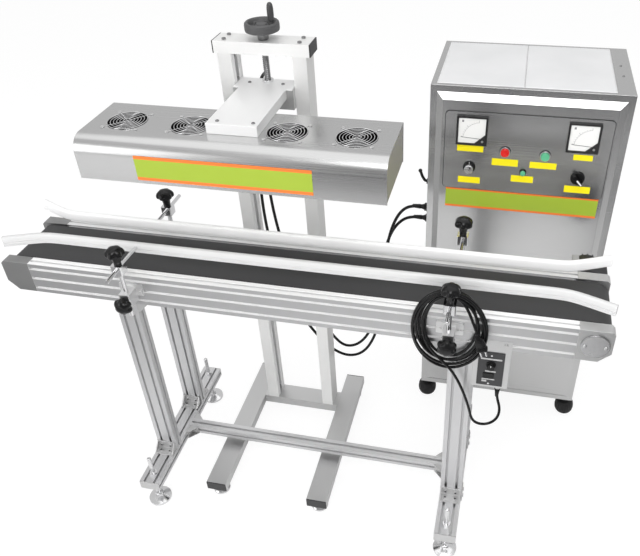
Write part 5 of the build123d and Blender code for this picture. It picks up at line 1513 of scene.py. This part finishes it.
far_cloth = band(floor_y, -5.0, -2.05, 0.2) * band(floor_x, -1.4, 3.4, 0.4)
middle_cloth = band(floor_y, -1.88, -1.3, 0.2) * band(floor_x, -0.4, 3.4, 0.8)
near_cloth = band(floor_y, -1.8, -0.6, 0.3) * band(floor_x, -5.0, 0.3, 2.0)
slanted = ((floor_x + floor_y * 0.152 - 0.77) * 20.0).clipped()
right_cloth = band(floor_y, -1.6, -0.1, 0.3) * slanted
laid = (in_metal * (far_cloth + middle_cloth + near_cloth + right_cloth)).clipped()
matt = Wire(FLOOR.tree, FLOOR.shader.outputs["BSDF"])
share = looked_at * 0.8 + in_metal * 0.1
paper = FLOOR.node("ShaderNodeMixShader", None, {"Fac": share, 1: matt, 2: white})
ground = FLOOR.node("ShaderNodeMixShader", None, {"Fac": laid * 0.95, 1: paper, 2: cloth})
FLOOR.tree.links.new(ground.socket, FLOOR.tree.nodes["Material Output"].inputs["Surface"])
floor.data.materials.append(FLOOR.material)

world = bpy.data.worlds.new("room")
scene.world = world
world.use_nodes = True
tree = world.node_tree
background = tree.nodes["Background"]
ray = tree.nodes.new("ShaderNodeLightPath")
seen = Wire(tree, ray.outputs["Is Camera Ray"])
mirrored = Wire(tree, ray.outputs["Is Glossy Ray"])
through = Wire(tree, ray.outputs["Is Transmission Ray"])
sky = tree.nodes.new("ShaderNodeSeparateXYZ")
tree.links.new(tree.nodes.new("ShaderNodeTexCoord").outputs["Generated"], sky.inputs[0])
toward_x, toward_y, toward_z = (Wire(tree, sky.outputs[axis]) for axis in "XYZ")
in_front = (toward_y * -2.0).clipped() * ((toward_x + 0.55) * 2.5).clipped()
in_front = in_front * ((0.8 - toward_z) * 3.0).clipped()
strength = 0.52 + seen * 0.5 + through * 0.3 + mirrored * (0.12 - in_front * 0.4)
background.inputs["Color"].default_value = (1, 1, 1, 1)
tree.links.new(strength.socket, background.inputs["Strength"])


def lamp_panel(name, place, target, size, power, mirrored=True):
    """An area lamp that looks from its place to its target, both in metres. One that is
    not mirrored lights the machine and leaves no bright patch in the metal."""
    light = bpy.data.lights.new(name, "AREA")
    light.shape = "RECTANGLE"
    light.size, light.size_y = size
    light.energy = power
    lamp_object = bpy.data.objects.new(name, light)
    lamp_object.visible_glossy = mirrored
    scene.collection.objects.link(lamp_object)
    aim = Vector(target) - Vector(place)
    turned_to = aim.to_track_quat("-Z", "Y").to_matrix().to_4x4()
    lamp_object.matrix_world = Matrix.Translation(place) @ turned_to


lamp_panel("overhead", (0.1, 0.3, 4.2), (0.0, 0.0, 0.0), (6.0, 4.0), 44)
lamp_panel("front_wall", (0.2, -3.6, 1.9), (0.1, 0.0, 0.8), (5.0, 2.4), 78, False)
lamp_panel("window_left", (-2.3, -2.6, 1.7), (-0.4, -0.3, 1.1), (1.5, 2.2), 17)
lamp_panel("above_camera", (0.56, -1.75, 3.15), (0.52, 0.12, 1.1), (1.7, 1.0), 22)
scene.view_settings.view_transform = "Standard"
